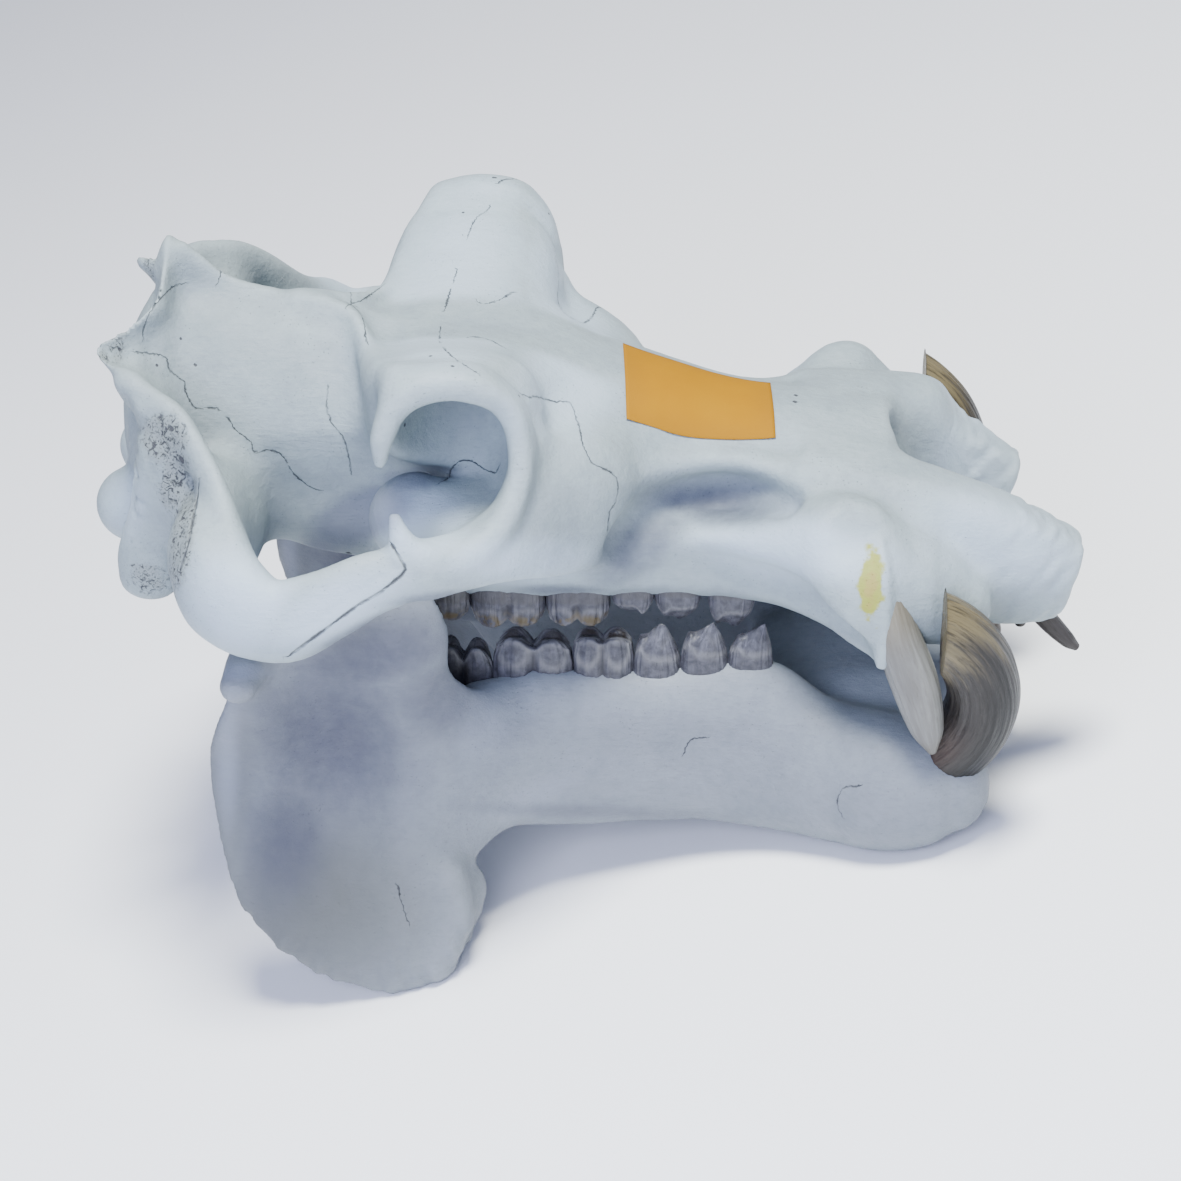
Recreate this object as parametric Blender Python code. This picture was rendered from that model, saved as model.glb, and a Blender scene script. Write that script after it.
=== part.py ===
"""A hippopotamus skull resting on its lower jaw: two bones, the teeth and a paper label.

The tables below are real sizes in centimetres in the skull's own directions: X to the nose, Y to the
animal's left, Z up out of the brow. Tables describe the left half, and the right half is its mirror.
The skull is then pitched nose down until the angles of the jaw and the chin stand on Z = 0.
"""
import math

import bpy
import numpy as np
from mathutils import Matrix

CM = 0.01

# How the skull stands: pitch in degrees, then the place of its own origin in centimetres
REST_PITCH = 15.2
REST_PLACE = (-2.0, -0.01, 17.64)

# Gap between a tooth, or the label, and the bone that holds it
GAP = 0.04
# Grid on which the forms of a bone are fused, and the share of faces kept afterwards
FUSE_GRID = 0.55
CRANIUM_KEPT = 0.0445
MANDIBLE_KEPT = 0.039

# Colours, linear RGB
BONE_COLOUR = (0.60, 0.63, 0.68)
CHEEK_TOOTH_COLOUR = (0.16, 0.15, 0.17)
UPPER_CANINE_COLOUR = (0.38, 0.37, 0.33)
TUSK_COLOUR = (0.11, 0.09, 0.07)
INCISOR_COLOUR = (0.13, 0.12, 0.11)
LABEL_COLOUR = (0.99, 0.49, 0.02)

# Sections square to X: x, y, z of the section's middle, half-width, height above it, depth below it
BRAINCASE = [(-29, 0, 14, 7.4, 9.4, 8), (-25.5, 0, 14.5, 6.8, 8.8, 8), (-21, 0, 15, 6.6, 7.8, 8),
             (-16.5, 0, 15.5, 6.4, 6.6, 8), (-12, 0, 15.3, 6.6, 5.4, 7.5), (-8, 0, 15, 7.5, 4.6, 8)]
SNOUT = [(-11, 0, 15, 7.0, 5.4, 6), (-7, 0, 14.4, 8.0, 5.7, 8), (-3, 0, 13.2, 8.2, 6.3, 8),
         (1, 0, 12, 7.8, 7.0, 7), (5, 0, 11, 7.0, 6.9, 6), (9, 0, 10.6, 6.4, 6.1, 5.6),
         (13, 0, 10.4, 6.4, 5.6, 5.4), (17, 0, 10.2, 7.0, 5.2, 5.4), (20.5, 0, 10, 7.8, 4.9, 5.4)]
SYMPHYSIS = [(13, 0, -7.6, 8, 3.0, 4.0), (17, 0, -7.2, 9.2, 4.0, 5.0), (21, 0, -6.8, 10.2, 4.2, 5.0),
             (24.0, 0, -6.2, 9.8, 3.8, 4.2), (25.6, 0, -5.8, 8.8, 3.0, 3.0)]

# Bars: x, y, z of the path, half-width across it, half-height
SAGITTAL_CREST = [(-28.6, 0, 25.2, .8, 1.8), (-25.3, 0, 22.9, .8, 1.6), (-21.4, 0, 21.7, .7, 1.5),
                  (-18.5, 0, 21.5, .6, 1.2)]
TEMPORAL_LINE = [(-20, 0.3, 22.0, .5, 1.0), (-16.5, 1.2, 21.7, .5, .9), (-14.7, 5, 20.6, .6, .9),
                 (-13.7, 9, 21.4, .6, .9), (-12.7, 13, 22.8, .5, .9), (-11.6, 15.4, 23.8, .5, .7)]
BROW = [(-8.0, 0, 16.2, 8.6, 4.3), (-8.6, 4, 17.1, 7.2, 4.2), (-9.0, 8, 18.6, 5.7, 4.0),
        (-9.0, 11, 20.1, 5.1, 3.8), (-8.7, 13.5, 21.6, 4.3, 3.2), (-8.8, 15.2, 23.1, 3.8, 2.0),
        (-8.8, 16.4, 23.8, 3.4, 1.1)]
ARCH_ROOT = [(-24.6, 3.5, 9.6, 2.8, 4.6), (-24.8, 8, 9.6, 2.8, 4.8), (-24.9, 11, 10.4, 2.5, 4.6),
             (-24.6, 14.5, 10.8, 2.3, 4.2), (-23.9, 18, 10.6, 2.1, 3.5)]
SPHENOID = [(-24.0, 3.6, 9.6, 2.4, 3.2), (-20.5, 3.6, 9.0, 2.2, 3.2), (-17.5, 3.6, 8.0, 2.0, 3.2),
            (-14.6, 3.8, 7.8, 1.8, 3.0)]
ZYGOMATIC_ARCH = [(2.4, 6.0, 10.8, 3.0, 5.4), (0.0, 9.6, 12.4, 2.8, 4.4), (-3.0, 13.8, 12.6, 2.2, 3.8),
                  (-6, 17.2, 12.3, 1.7, 2.4), (-9, 19.6, 12.4, 1.35, 2.0), (-12.5, 20.8, 12.3, 1.15, 2.2),
                  (-16, 21.4, 10.7, 1.25, 2.6), (-19, 21.4, 9.5, 1.5, 3.0), (-21.6, 20.7, 9.8, 1.9, 3.4),
                  (-23.6, 19.0, 10.3, 2.1, 3.6), (-24.8, 16.2, 11.2, 2.2, 3.8)]
FOSSA_RIM = [(-21.4, 20.3, 12.0, 1.0, 1.3), (-22.6, 17.8, 13.6, .9, 1.3), (-23.6, 15.8, 15.4, .8, 1.3),
             (-25.0, 14.0, 17.2, .8, 1.4), (-26.6, 12.3, 18.8, .8, 1.4), (-28.6, 10.9, 19.6, .8, 1.4),
             (-30.4, 9.6, 20.2, .7, 1.1)]
UPPER_TOOTH_RIDGE = [(-13, 5.9, 6.4, 1.5, 1.8), (-10, 6.8, 6.3, 2.0, 2.4), (-5, 7.5, 6.7, 2.1, 2.7),
                     (0, 7.6, 6.9, 1.95, 2.7), (5, 7.6, 6.9, 1.8, 2.5), (10, 7.7, 6.8, 1.8, 2.4),
                     (14, 8.7, 7.0, 1.9, 2.6), (17.5, 11, 7.4, 2.2, 3.2), (19.3, 12.8, 7.8, 2.0, 3.6)]
ROOT_SWELLING = [(4.6, 7.2, 9.4, 1.7, 1.5), (9, 8.0, 9.9, 1.9, 1.5), (13, 9.2, 9.8, 2.1, 1.8),
                 (16.5, 11.1, 9.4, 2.3, 2.5)]
SNOUT_SHOULDER = [(1.0, 7.9, 12.6, .9, 1.0), (4.5, 6.9, 13.4, 1.0, 1.0), (8.5, 6.1, 13.5, 1.0, 1.0),
                  (12.5, 6.1, 13.2, 1.0, 1.0), (16.5, 7.2, 12.8, 1.0, 1.0)]
CANINE_FLANGE = [(18.6, 13.3, 8.5, 2.3, 2.0), (19.0, 13.8, 6, 2.2, 1.8), (20.2, 14.6, 4.6, 1.2, 1.1)]
CANINE_KNOB = [(18.4, 12.7, 13.0, 2.0, 1.7), (18.5, 12.8, 9.8, 2.1, 1.7), (18.8, 13.2, 7.5, 2.1, 1.7)]
CANINE_SOCKET = [(14, 7.5, 9.6, 3.0, 3.6), (18.5, 9.6, 9.0, 3.6, 3.8), (22.4, 11.4, 7.6, 3.4, 3.6),
                 (25, 11.6, 6.2, 2.6, 2.8)]
PREMAXILLA = [(15, 5.2, 11, 2.8, 3.8), (19, 6.0, 10.6, 3.0, 4.0), (23, 7.0, 9.4, 3.0, 4.6),
              (26.5, 7.4, 8.2, 2.8, 4.7), (29.5, 7.2, 7.1, 2.6, 4.3), (32.0, 6.8, 6.4, 2.25, 3.6),
              (33.1, 6.7, 6.1, 2.1, 3.2)]
SKULL_BASE = [(-30, 0, 6.2, 4.0, 1.6), (-26, 0, 7.0, 3.6, 2.0), (-20, 0, 8.2, 3.0, 2.0),
              (-12, 0, 8.6, 3.0, 2.4)]
PAROCCIPITAL = [(-28.2, 11.0, 16.5, 1.3, 1.5), (-29.0, 10.4, 12, 1.6, 1.6), (-29.8, 9.8, 7.6, 2.2, 1.7),
                (-30.0, 9.6, 5.6, 2.1, 1.5)]
POSTGLENOID = [(-25.8, 12.6, 9, 1.5, 1.5), (-26.4, 14, 6.8, .8, .9)]
PTERYGOID = [(-13.5, 4.0, 8, 2.6, .9), (-14, 4.2, 5, 2.0, .7), (-14.8, 4.6, 2.6, .9, .6)]
ORBIT_RIM = [(-12.7, 17.0, 19.0, .55, .7), (-12.5, 16.9, 20.8, .85, 1.1), (-11.4, 16.4, 23.2, .95, 1.3),
             (-9.4, 16.0, 24.3, .95, 1.3), (-6.4, 15.8, 24.1, .95, 1.3), (-4.5, 15.4, 22.6, .95, 1.3),
             (-3.7, 15.2, 20.2, .95, 1.4), (-3.8, 15.6, 17.4, .95, 1.6), (-5.0, 17.0, 14.9, .95, 1.6),
             (-7.4, 18.7, 13.4, .95, 1.4), (-9.8, 19.9, 13.6, .9, 1.1)]
JUGAL_HORN = [(-9.8, 20.0, 12.8, 1.7, 1.1), (-10.8, 20.3, 14.4, 1.15, .9), (-11.3, 20.3, 15.8, .68, .6),
              (-11.5, 20.2, 16.6, .5, .45)]
JAW_BODY = [(-8, 11.6, -5.6, 2.4, 4.6), (-5, 10.4, -6.8, 2.5, 6.1), (-1, 9.6, -7.2, 2.4, 6.3),
            (4, 9.2, -7.2, 2.3, 6.2), (9, 9.1, -7.3, 2.4, 5.8), (14, 9.6, -7.8, 2.8, 5.6),
            (18, 10.9, -7.9, 3.5, 5.2), (21.5, 12.3, -7.6, 4.0, 5.0), (24.2, 13.0, -7.3, 3.6, 4.3),
            (25.4, 13.0, -7.2, 3.0, 3.5)]
LOWER_TOOTH_RIDGE = [(-12.8, 9.7, -5.6, 1.8, 2.6), (-9, 9.3, -5.4, 2.1, 2.7), (-3.5, 9.0, -5.0, 2.1, 2.7),
                     (1.5, 9.0, -4.5, 2.0, 2.7), (5, 9.0, -3.9, 1.9, 2.7), (9, 9.0, -3.0, 1.9, 2.7),
                     (12.6, 9.2, -2.8, 1.8, 2.7), (15.4, 9.4, -5.2, 1.7, 2.6)]
JAW_CONDYLE = [(-22.0, 14.8, 3.6, 1.3, 1.1), (-22.0, 17.5, 3.9, 1.5, 1.4), (-22.3, 20.2, 3.5, 1.3, 1.1)]
ANGLE_HOOK = [(-9.0, 17.6, -13.2, 1.1, 1.2), (-8.4, 18.2, -16.3, 1.3, 1.4), (-9.6, 18.9, -19.6, 1.2, 1.3)]

# Hollows, cut as bars of the same kind
CHEEK_UNDERCUT = [(4.4, 12.2, 5.4, 2.4, 2.4), (1.2, 12.4, 6.0, 2.4, 2.4), (-0.9, 13.0, 6.5, 2.4, 2.4),
                  (-3.1, 15.4, 7.3, 2.5, 2.5), (-5.5, 18.0, 8.5, 2.4, 2.4), (-7.6, 19.8, 9.1, 2.1, 2.1),
                  (-9.8, 21.2, 9.3, 1.7, 1.7)]
FACE_HOLLOW = [(2.8, 10.6, 10.2, 1.3, 1.5), (5.4, 8.9, 11.4, 1.8, 1.4), (9.0, 7.8, 12.1, 2.0, 1.4),
               (12.0, 8.3, 12.2, 1.7, 1.1), (14.6, 9.9, 12.4, 0.9, 0.7)]
MAXILLA_UNDERCUT = [(4.6, 11.3, 6.6, 1.8, 1.7), (8, 11.2, 6.9, 2.1, 2.0), (11.5, 11.8, 6.9, 2.2, 2.1),
                    (14.5, 13.3, 6.4, 2.3, 2.2), (17.0, 14.9, 4.9, 2.2, 2.2), (18.4, 15.8, 3.0, 1.8, 1.8)]
NASAL_OPENING = [(37, 0, 11.5, 5.2, 7.5), (31, 0, 11.2, 4.9, 6.0), (26.5, 0, 11.0, 4.2, 4.6),
                 (23.4, 0, 11.0, 3.2, 4.4), (20, 0, 10.4, 2.6, 3.0), (14, 0, 10.2, 2.4, 2.2)]
JAW_SPOUT = [(10, 0, -1.8, 5.2, 2.6), (17, 0, -1.6, 4.8, 2.0), (23, 0, -1.4, 4.6, 1.8),
             (29, 0, -1.2, 4.4, 1.8)]

# Lumps: middle and half-sizes
ORBIT_FRONT = ((-1.4, 8.2, 12.8), (4.0, 5.6, 4.8))
BROW_FRONT = ((-4.8, 11.5, 18.6), (2.0, 4.4, 4.0))
FOSSA_BACK = ((-27.2, 10.6, 14.6), (2.0, 2.4, 4.6))
OCCIPITAL_CONDYLE = ((-31.8, 4.4, 8.6), (2.6, 2.3, 2.7))
EYE_SOCKET = ((-7.9, 14.8, 19.0), (4.4, 6.2, 4.5))
SOCKET_FLOOR = [((-11.2, 11.5, 11.9), (3.1, 3.2, 3.1)), ((-7.2, 12.4, 12.0), (3.6, 4.6, 2.6))]
FORAMEN_MAGNUM = ((-33, 0, 10.6), (4.6, 2.1, 2.2))

# Plates: the outline of the occiput in Y and Z, of the cheek and the ramus of the jaw in X and Z
OCCIPUT = [(0, 27.3), (1.6, 26.0), (3.2, 24.9), (5.2, 23.8), (7.2, 22.6), (9.2, 21.4), (10.8, 20.0),
           (11.8, 17), (12.0, 12.5), (11.4, 8), (9.6, 5.2), (6, 4.2), (0, 4.6)]
CHEEK = [(-9.5, 13.0), (-7, 13.2), (-4.8, 14.2), (-3.4, 16.4), (-3.0, 18.6), (-1.6, 17.6), (0.6, 15.8),
         (2.2, 14.2), (2.6, 12.6), (2.2, 10.6), (1.0, 8.8), (-1, 8.2), (-3.6, 9.0), (-6.5, 10.2),
         (-9.5, 10.9)]
RAMUS = [(-22.6, 4.2), (-23.7, 1), (-25.4, -4.2), (-25.0, -9.8), (-23.4, -14.9), (-20.4, -18.7),
         (-16.6, -21.1), (-12.3, -21.9), (-9.2, -21.3), (-7.2, -18.8), (-6.7, -16), (-7.3, -13.6),
         (-5.2, -12.2), (-2.5, -10.5), (-2, -5), (-6.2, -1.8), (-8.8, 1.5), (-8.9, 5.2), (-10.2, 8.6),
         (-12.4, 9.4), (-14.4, 7.4), (-17, 5.2), (-20, 4.6)]

# Cheek teeth: name, x of the rear and front, half-width, z of the tip, lobes, x of the tip
UPPER_CHEEK_TEETH = [("molar_3", -12.4, -8.0, 1.15, 2.4, 2, -10.2),
                     ("molar_2", -7.8, -2.8, 1.2, 2.2, 2, -5.3), ("molar_1", -2.6, 1.7, 1.15, 2.5, 2, -0.4),
                     ("premolar_4", 1.9, 4.7, 1.0, 3.2, 1, 3.4), ("premolar_3", 4.9, 8.0, 0.9, 2.5, 1, 6.8),
                     ("premolar_2", 8.6, 11.6, 0.8, 2.1, 1, 10.4)]
LOWER_CHEEK_TEETH = [("molar_3", -12.2, -6.4, 1.1, 0.9, 3, -9.3),
                     ("molar_2", -6.2, -0.8, 1.15, 1.6, 2, -3.5), ("molar_1", -0.6, 3.3, 1.1, 1.9, 2, 1.4),
                     ("premolar_4", 3.5, 6.6, 0.95, 2.8, 1, 5.3),
                     ("premolar_3", 6.8, 9.9, 0.9, 2.8, 1, 9.0),
                     ("premolar_2", 10.1, 13.0, 0.8, 2.8, 1, 12.4)]
UPPER_ROW = {"y": 7.9, "root": 6.6}
LOWER_ROW = {"y": 9.0, "root": -5.0}

# Front teeth as bars, and the lower canine as an arc in X and Z: middle, radius, angles in degrees
UPPER_CANINE = [(20.4, 14.0, 9.0, 1.2, 1.3), (21.2, 14.8, 6.0, 1.5, 1.5), (22.6, 15.5, 2.4, 1.6, 1.5),
                (23.6, 16.1, -.9, 1.1, 1.1), (23.9, 16.3, -2.2, .5, .6)]
TUSK_MIDDLE = (19.4, 0.9)
TUSK_RADIUS = 7.9
TUSK_ANGLES = (-62, 62)
TUSK_SPREAD = (12.2, 17.0)
TUSK_HALF_WIDTHS = (2.6, 2.35)
TUSK_WEAR_X = 24.2
UPPER_INCISORS = {"upper_incisor_1": [(29.6, 3.9, 5.2, .7, .7), (30.2, 3.7, 2.6, .65, .65),
                  (30.6, 3.6, .6, .5, .5)], "upper_incisor_2": [(30.0, 6.3, 5.0, .75, .8),
                  (32.0, 6.2, 2.4, .75, .75), (33.7, 6.2, .6, .6, .6), (34.3, 6.2, .1, .35, .4)]}
LOWER_INCISORS = {"lower_incisor_1": [(22.5, 2.6, -5.4, 1.1, 1.1), (26.5, 2.5, -4.6, 1.0, 1.0),
                  (29.4, 2.4, -3.6, .75, .75)], "lower_incisor_2": [(22.8, 6.0, -6.0, .8, .8),
                  (26.2, 6.0, -5.4, .75, .75), (28.6, 6.0, -4.6, .55, .55)]}

# The left premaxilla is shorter and lower than the right one, and the left rear arch rises a little higher
LEFT_TIP_SHORTER = 2.8
LEFT_TIP_FROM = 23.5
LEFT_TIP_LOWER = 0.7
LEFT_REAR_HIGHER = 1.2
LEFT_REAR_FROM = -12.0

# The label: its corners on the skull as x and y, and its thickness
LABEL_CORNERS = [(2.15, 2.0), (12.5, 1.7), (12.9, -4.5), (2.75, -6.0)]
LABEL_CELLS = (9, 6)
LABEL_THICKNESS = 0.06
LABEL_CLEARANCE = 0.2
LABEL_START_Z = 22.0


def clear_scene():
    for thing in list(bpy.data.objects):
        bpy.data.objects.remove(thing)


def material(name, colour, roughness):
    """A plain material of one colour."""
    made = bpy.data.materials.new(name)
    made.use_nodes = True
    shader = made.node_tree.nodes["Principled BSDF"]
    shader.inputs["Base Color"].default_value = (*colour, 1)
    shader.inputs["Roughness"].default_value = roughness
    shader.inputs["Metallic"].default_value = 0
    return made


def ease(t):
    t = np.clip(t, 0, 1)
    return t * t * (3 - 2 * t)


def bump(a, b):
    return np.exp(-a * a - b * b)


def smooth_rows(rows, count):
    """A smooth curve through the rows, read at count places evenly spaced along it."""
    p = np.asarray(rows, float)
    step = np.maximum(np.linalg.norm(np.diff(p[:, :3], axis=0), axis=1), 1e-6)
    knot = np.concatenate([[0], np.cumsum(step)])
    slope = np.empty_like(p)
    slope[1:-1] = (p[2:] - p[:-2]) / (knot[2:] - knot[:-2])[:, None]
    slope[0] = (p[1] - p[0]) / step[0]
    slope[-1] = (p[-1] - p[-2]) / step[-1]
    at = np.linspace(0, knot[-1], count)
    i = np.clip(np.searchsorted(knot, at, side="right") - 1, 0, len(p) - 2)
    h = step[i][:, None]
    t = ((at - knot[i]) / step[i])[:, None]
    return ((2 * t**3 - 3 * t**2 + 1) * p[i] + (t**3 - 2 * t**2 + t) * h * slope[i]
            + (3 * t**2 - 2 * t**3) * p[i + 1] + (t**3 - t**2) * h * slope[i + 1])


def signed_power(value, n):
    return np.sign(value) * np.abs(value) ** (2 / n)


def close_rings(rings):
    """Faces over a stack of rings whose first and last rings are single points."""
    rows, around, _ = rings.shape
    points = np.concatenate([rings[0, :1], rings[1:-1].reshape(-1, 3), rings[-1, :1]])
    i = np.arange(rows - 3)[:, None] * around
    j = np.arange(around)[None, :]
    k = (j + 1) % around
    quads = np.stack([1 + i + j, 1 + i + k, 1 + i + around + k, 1 + i + around + j], -1).reshape(-1, 4)
    last = 1 + (rows - 3) * around
    head = np.stack([0 * j[0], 1 + k[0], 1 + j[0]], -1)
    tail = np.stack([0 * j[0] + len(points) - 1, last + j[0], last + k[0]], -1)
    return points, quads.tolist() + head.tolist() + tail.tolist()


def bar(stations, up=(0, 0, 1), n=2.0, around=16, spacing=1.2, cap=1.0, grow=0.0):
    """A rounded bar: superellipses carried square to a smooth path, closed by domes."""
    rows = np.asarray(stations, float)
    length = np.linalg.norm(np.diff(rows[:, :3], axis=0), axis=1).sum()
    along = int(max(4, length / spacing))
    s = smooth_rows(rows, along)
    path = s[:, :3]
    half = np.maximum(s[:, 3:5], 0.05) + grow
    run = np.gradient(path, axis=0)
    run /= np.linalg.norm(run, axis=1)[:, None]
    side = np.cross(np.asarray(up, float), run)
    side /= np.linalg.norm(side, axis=1)[:, None]
    rise = np.cross(run, side)
    lift = np.array([math.pi / 2, math.pi / 4])
    reach = (cap * half[0].min() + grow * (1 - cap), cap * half[-1].min() + grow * (1 - cap))
    index = np.concatenate([[0, 0], np.arange(along), [along - 1] * 2])
    shrink = np.concatenate([np.cos(lift), np.ones(along), np.cos(lift[::-1])])
    shift = np.concatenate([-np.sin(lift) * reach[0], np.zeros(along), np.sin(lift[::-1]) * reach[1]])
    v = np.linspace(0, 2 * math.pi, around, endpoint=False)
    across = (shrink * half[index, 0])[:, None] * signed_power(np.cos(v), n)
    high = (shrink * half[index, 1])[:, None] * signed_power(np.sin(v), n)
    middle = path[index] + shift[:, None] * run[index]
    sideways = across[..., None] * side[index][:, None]
    upwards = high[..., None] * rise[index][:, None]
    return close_rings(middle[:, None] + sideways + upwards)


def sections(stations, n_up, n_down, around=24, spacing=1.2, cap=0.5):
    """A body whose sections square to X have their own height above and depth below the middle."""
    rows = np.asarray(stations, float)
    along = int(max(6, abs(rows[-1, 0] - rows[0, 0]) / spacing))
    s = smooth_rows(rows, along)
    lift = np.array([math.pi / 2, math.pi / 4])
    index = np.concatenate([[0, 0], np.arange(along), [along - 1] * 2])
    shrink = np.concatenate([np.cos(lift), np.ones(along), np.cos(lift[::-1])])
    reach = (s[0, 3:].min() * cap, s[-1, 3:].min() * cap)
    shift = np.concatenate([-np.sin(lift) * reach[0], np.zeros(along), np.sin(lift[::-1]) * reach[1]])
    v = np.linspace(0, 2 * math.pi, around, endpoint=False)
    n = np.where(np.sin(v) > 0, n_up, n_down)
    q = s[index]
    height = np.where(np.sin(v) > 0, q[:, 4, None], q[:, 5, None])
    y = q[:, 1, None] + shrink[:, None] * q[:, 3, None] * signed_power(np.cos(v), n)
    z = q[:, 2, None] + shrink[:, None] * height * signed_power(np.sin(v), n)
    x = np.broadcast_to((q[:, 0] + shift)[:, None], y.shape)
    return close_rings(np.stack([x, y, z], -1)[:, ::-1])


def plate(outline, middle, mid, half, across_x, around=48, rows=7, edge=4.0):
    """A plate: its outline lies in one plane, and mid(u, v) bends the plate out of that plane."""
    p = np.asarray(outline, float)
    closed = np.concatenate([p, p[:1]])
    closed = np.column_stack([closed, np.zeros(len(closed))])
    rim = smooth_rows(closed, around + 1)[:-1, :2]
    r = np.sin(np.linspace(0, math.pi / 2, rows))
    r = np.concatenate([r, r[::-1][1:]])
    side = np.concatenate([np.ones(rows), -np.ones(rows - 1)])
    uv = np.asarray(middle) + r[:, None, None] * (rim[None] - np.asarray(middle))
    u, v = uv[..., 0], uv[..., 1]
    w = mid(u, v) + side[:, None] * half(u, v) * np.sqrt(np.clip(1 - r**edge, 0, 1))[:, None]
    return close_rings(np.stack([w, u, v] if across_x else [u, w, v], -1))


def lump(middle, radii, around=16, rows=9):
    u = np.linspace(0, math.pi, rows)[:, None]
    v = np.linspace(0, 2 * math.pi, around, endpoint=False)
    ball = np.stack([np.sin(u) * np.cos(v), np.sin(u) * np.sin(v), np.cos(u) + 0 * v], -1)
    return close_rings((ball * np.asarray(radii, float) + np.asarray(middle, float))[:, ::-1])


def occiput_mid(y, z):
    """X of the occiput's middle: flat behind the brain, with a wing swept back on each side of the crest."""
    a = np.abs(y)
    wing = bump((a - 7.6) / 2.3, np.where(z < 22, (z - 22) / 2.2, (z - 22) / 3.5))
    return -28.9 - 3.8 * wing


def cheek_mid(x, z):
    """Y of the cheek plate, which runs out and back from the snout and leans in towards the brow."""
    return 8.9 + 0.98 * (2.4 - x) - 0.22 * np.clip(z - 12, 0, 9)


def ramus_mid(x, z):
    """Y of the ramus: it spreads backwards and down, hollow where the chewing muscle lay."""
    back = ease((-x - 1) / 12)
    low = ease((-z - 3) / 15)
    return (9.6 + 6.4 * back + 3.4 * low * back - 1.8 * bump((x + 16.5) / 5.5, (z + 8) / 6.5)
            + 2.0 * ease((-x - 18) / 5) * ease((z + 6) / 8))


def ramus_half(x, z):
    return (1.15 + 1.3 * ease((x + 10) / 8) - 0.3 * bump((x + 17) / 5, (z + 8) / 6)
            + 0.35 * ease((-z - 12) / 7) - 0.3 * ease((z - 3) / 4))


def left_side(form):
    """Moves the left premaxilla back and down and lifts the left rear, easing in along X and across Y."""
    points, faces = form
    x, y, z = points.T
    tip = ease((x - LEFT_TIP_FROM) / 7) * ease((y - 0.5) / 3)
    lift = LEFT_REAR_HIGHER * ease((LEFT_REAR_FROM - x) / 8) * ease((y - 7) / 6) * ease((z - 7) / 5)
    return points + np.stack([-LEFT_TIP_SHORTER * tip, 0 * y, lift - LEFT_TIP_LOWER * tip], -1), faces


def orientation(points, faces):
    """Volume enclosed by the faces: negative when they point inwards."""
    total = 0.0
    for face in faces:
        for k in range(1, len(face) - 1):
            total += np.dot(points[face[0]], np.cross(points[face[k]], points[face[k + 1]]))
    return total


def mirrored(form):
    points, faces = form
    return points * np.array([1, -1, 1]), [face[::-1] for face in faces]


def with_mirror(forms):
    return forms + [mirrored(form) for form in forms]


def outward(form):
    points, faces = form
    if orientation(points, faces) < 0:
        faces = [face[::-1] for face in faces]
    return points, faces


def mesh_object(name, forms, paint, parent):
    """One object holding closed forms, given in centimetres in the skull's own directions."""
    vertices, polygons = [], []
    for form in forms:
        points, faces = outward(form)
        start = len(vertices)
        vertices += [tuple(point * CM) for point in points]
        polygons += [[start + corner for corner in face] for face in faces]
    mesh = bpy.data.meshes.new(name)
    mesh.from_pydata(vertices, [], polygons)
    mesh.update()
    if paint:
        mesh.materials.append(paint)
    thing = bpy.data.objects.new(name, mesh)
    bpy.context.scene.collection.objects.link(thing)
    thing.parent = parent
    return thing


def cutter(name, forms, parent):
    thing = mesh_object(name, forms, None, parent)
    thing.hide_render = True
    thing.display_type = "WIRE"
    return thing


def fuse(thing, grid=FUSE_GRID):
    step = thing.modifiers.new("Fuse", "REMESH")
    step.mode = "VOXEL"
    step.voxel_size = grid * CM
    return step


def soften(thing, times):
    step = thing.modifiers.new("Soften", "SMOOTH")
    step.factor = 0.5
    step.iterations = times


def cut(thing, tool):
    step = thing.modifiers.new("Cut", "BOOLEAN")
    step.operation = "DIFFERENCE"
    step.solver = "EXACT"
    step.object = tool


def thin_out(thing, share):
    step = thing.modifiers.new("Thin", "DECIMATE")
    step.ratio = share


def shade(thing, angle=50):
    thing.data.shade_smooth()
    thing.data.set_sharp_from_angle(angle=math.radians(angle))


def rest_frame():
    """The empty that pitches the skull down onto its jaw."""
    empty = bpy.data.objects.new("rest_frame", None)
    bpy.context.scene.collection.objects.link(empty)
    turn = Matrix.Rotation(math.radians(REST_PITCH), 4, "Y")
    empty.matrix_world = Matrix.Translation([value * CM for value in REST_PLACE]) @ turn
    return empty


def tusk_rows():
    """Stations of the lower canine along its arc, leaning outwards as it rises."""
    t = np.linspace(0, 1, 9)
    angle = np.radians(TUSK_ANGLES[0] + t * (TUSK_ANGLES[1] - TUSK_ANGLES[0]))
    x = TUSK_MIDDLE[0] + TUSK_RADIUS * np.cos(angle)
    z = TUSK_MIDDLE[1] + TUSK_RADIUS * np.sin(angle)
    y = TUSK_SPREAD[0] + t * (TUSK_SPREAD[1] - TUSK_SPREAD[0])
    half = TUSK_HALF_WIDTHS[0] + t * (TUSK_HALF_WIDTHS[1] - TUSK_HALF_WIDTHS[0])
    return np.column_stack([x, y, z, half, half])


def tooth_row_box(row, teeth, end_z):
    """The trench in which one row of cheek teeth stands, from under the roots out past the gum."""
    wide = max(tooth[3] for tooth in teeth) + 2 * GAP
    x0 = min(tooth[1] for tooth in teeth) - 2 * GAP
    x1 = max(tooth[2] for tooth in teeth) + 2 * GAP
    low = row["root"] + math.copysign(GAP, row["root"] - end_z)
    outline = ((x0, -1), (x1, -1), (x1, 1), (x0, 1))
    corners = [(x, row["y"] + s * wide, z) for z in (low, end_z) for x, s in outline]
    faces = [[0, 3, 2, 1], [4, 5, 6, 7], [0, 1, 5, 4], [1, 2, 6, 5], [2, 3, 7, 6], [3, 0, 4, 7]]
    return np.array(corners, float), faces


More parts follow.
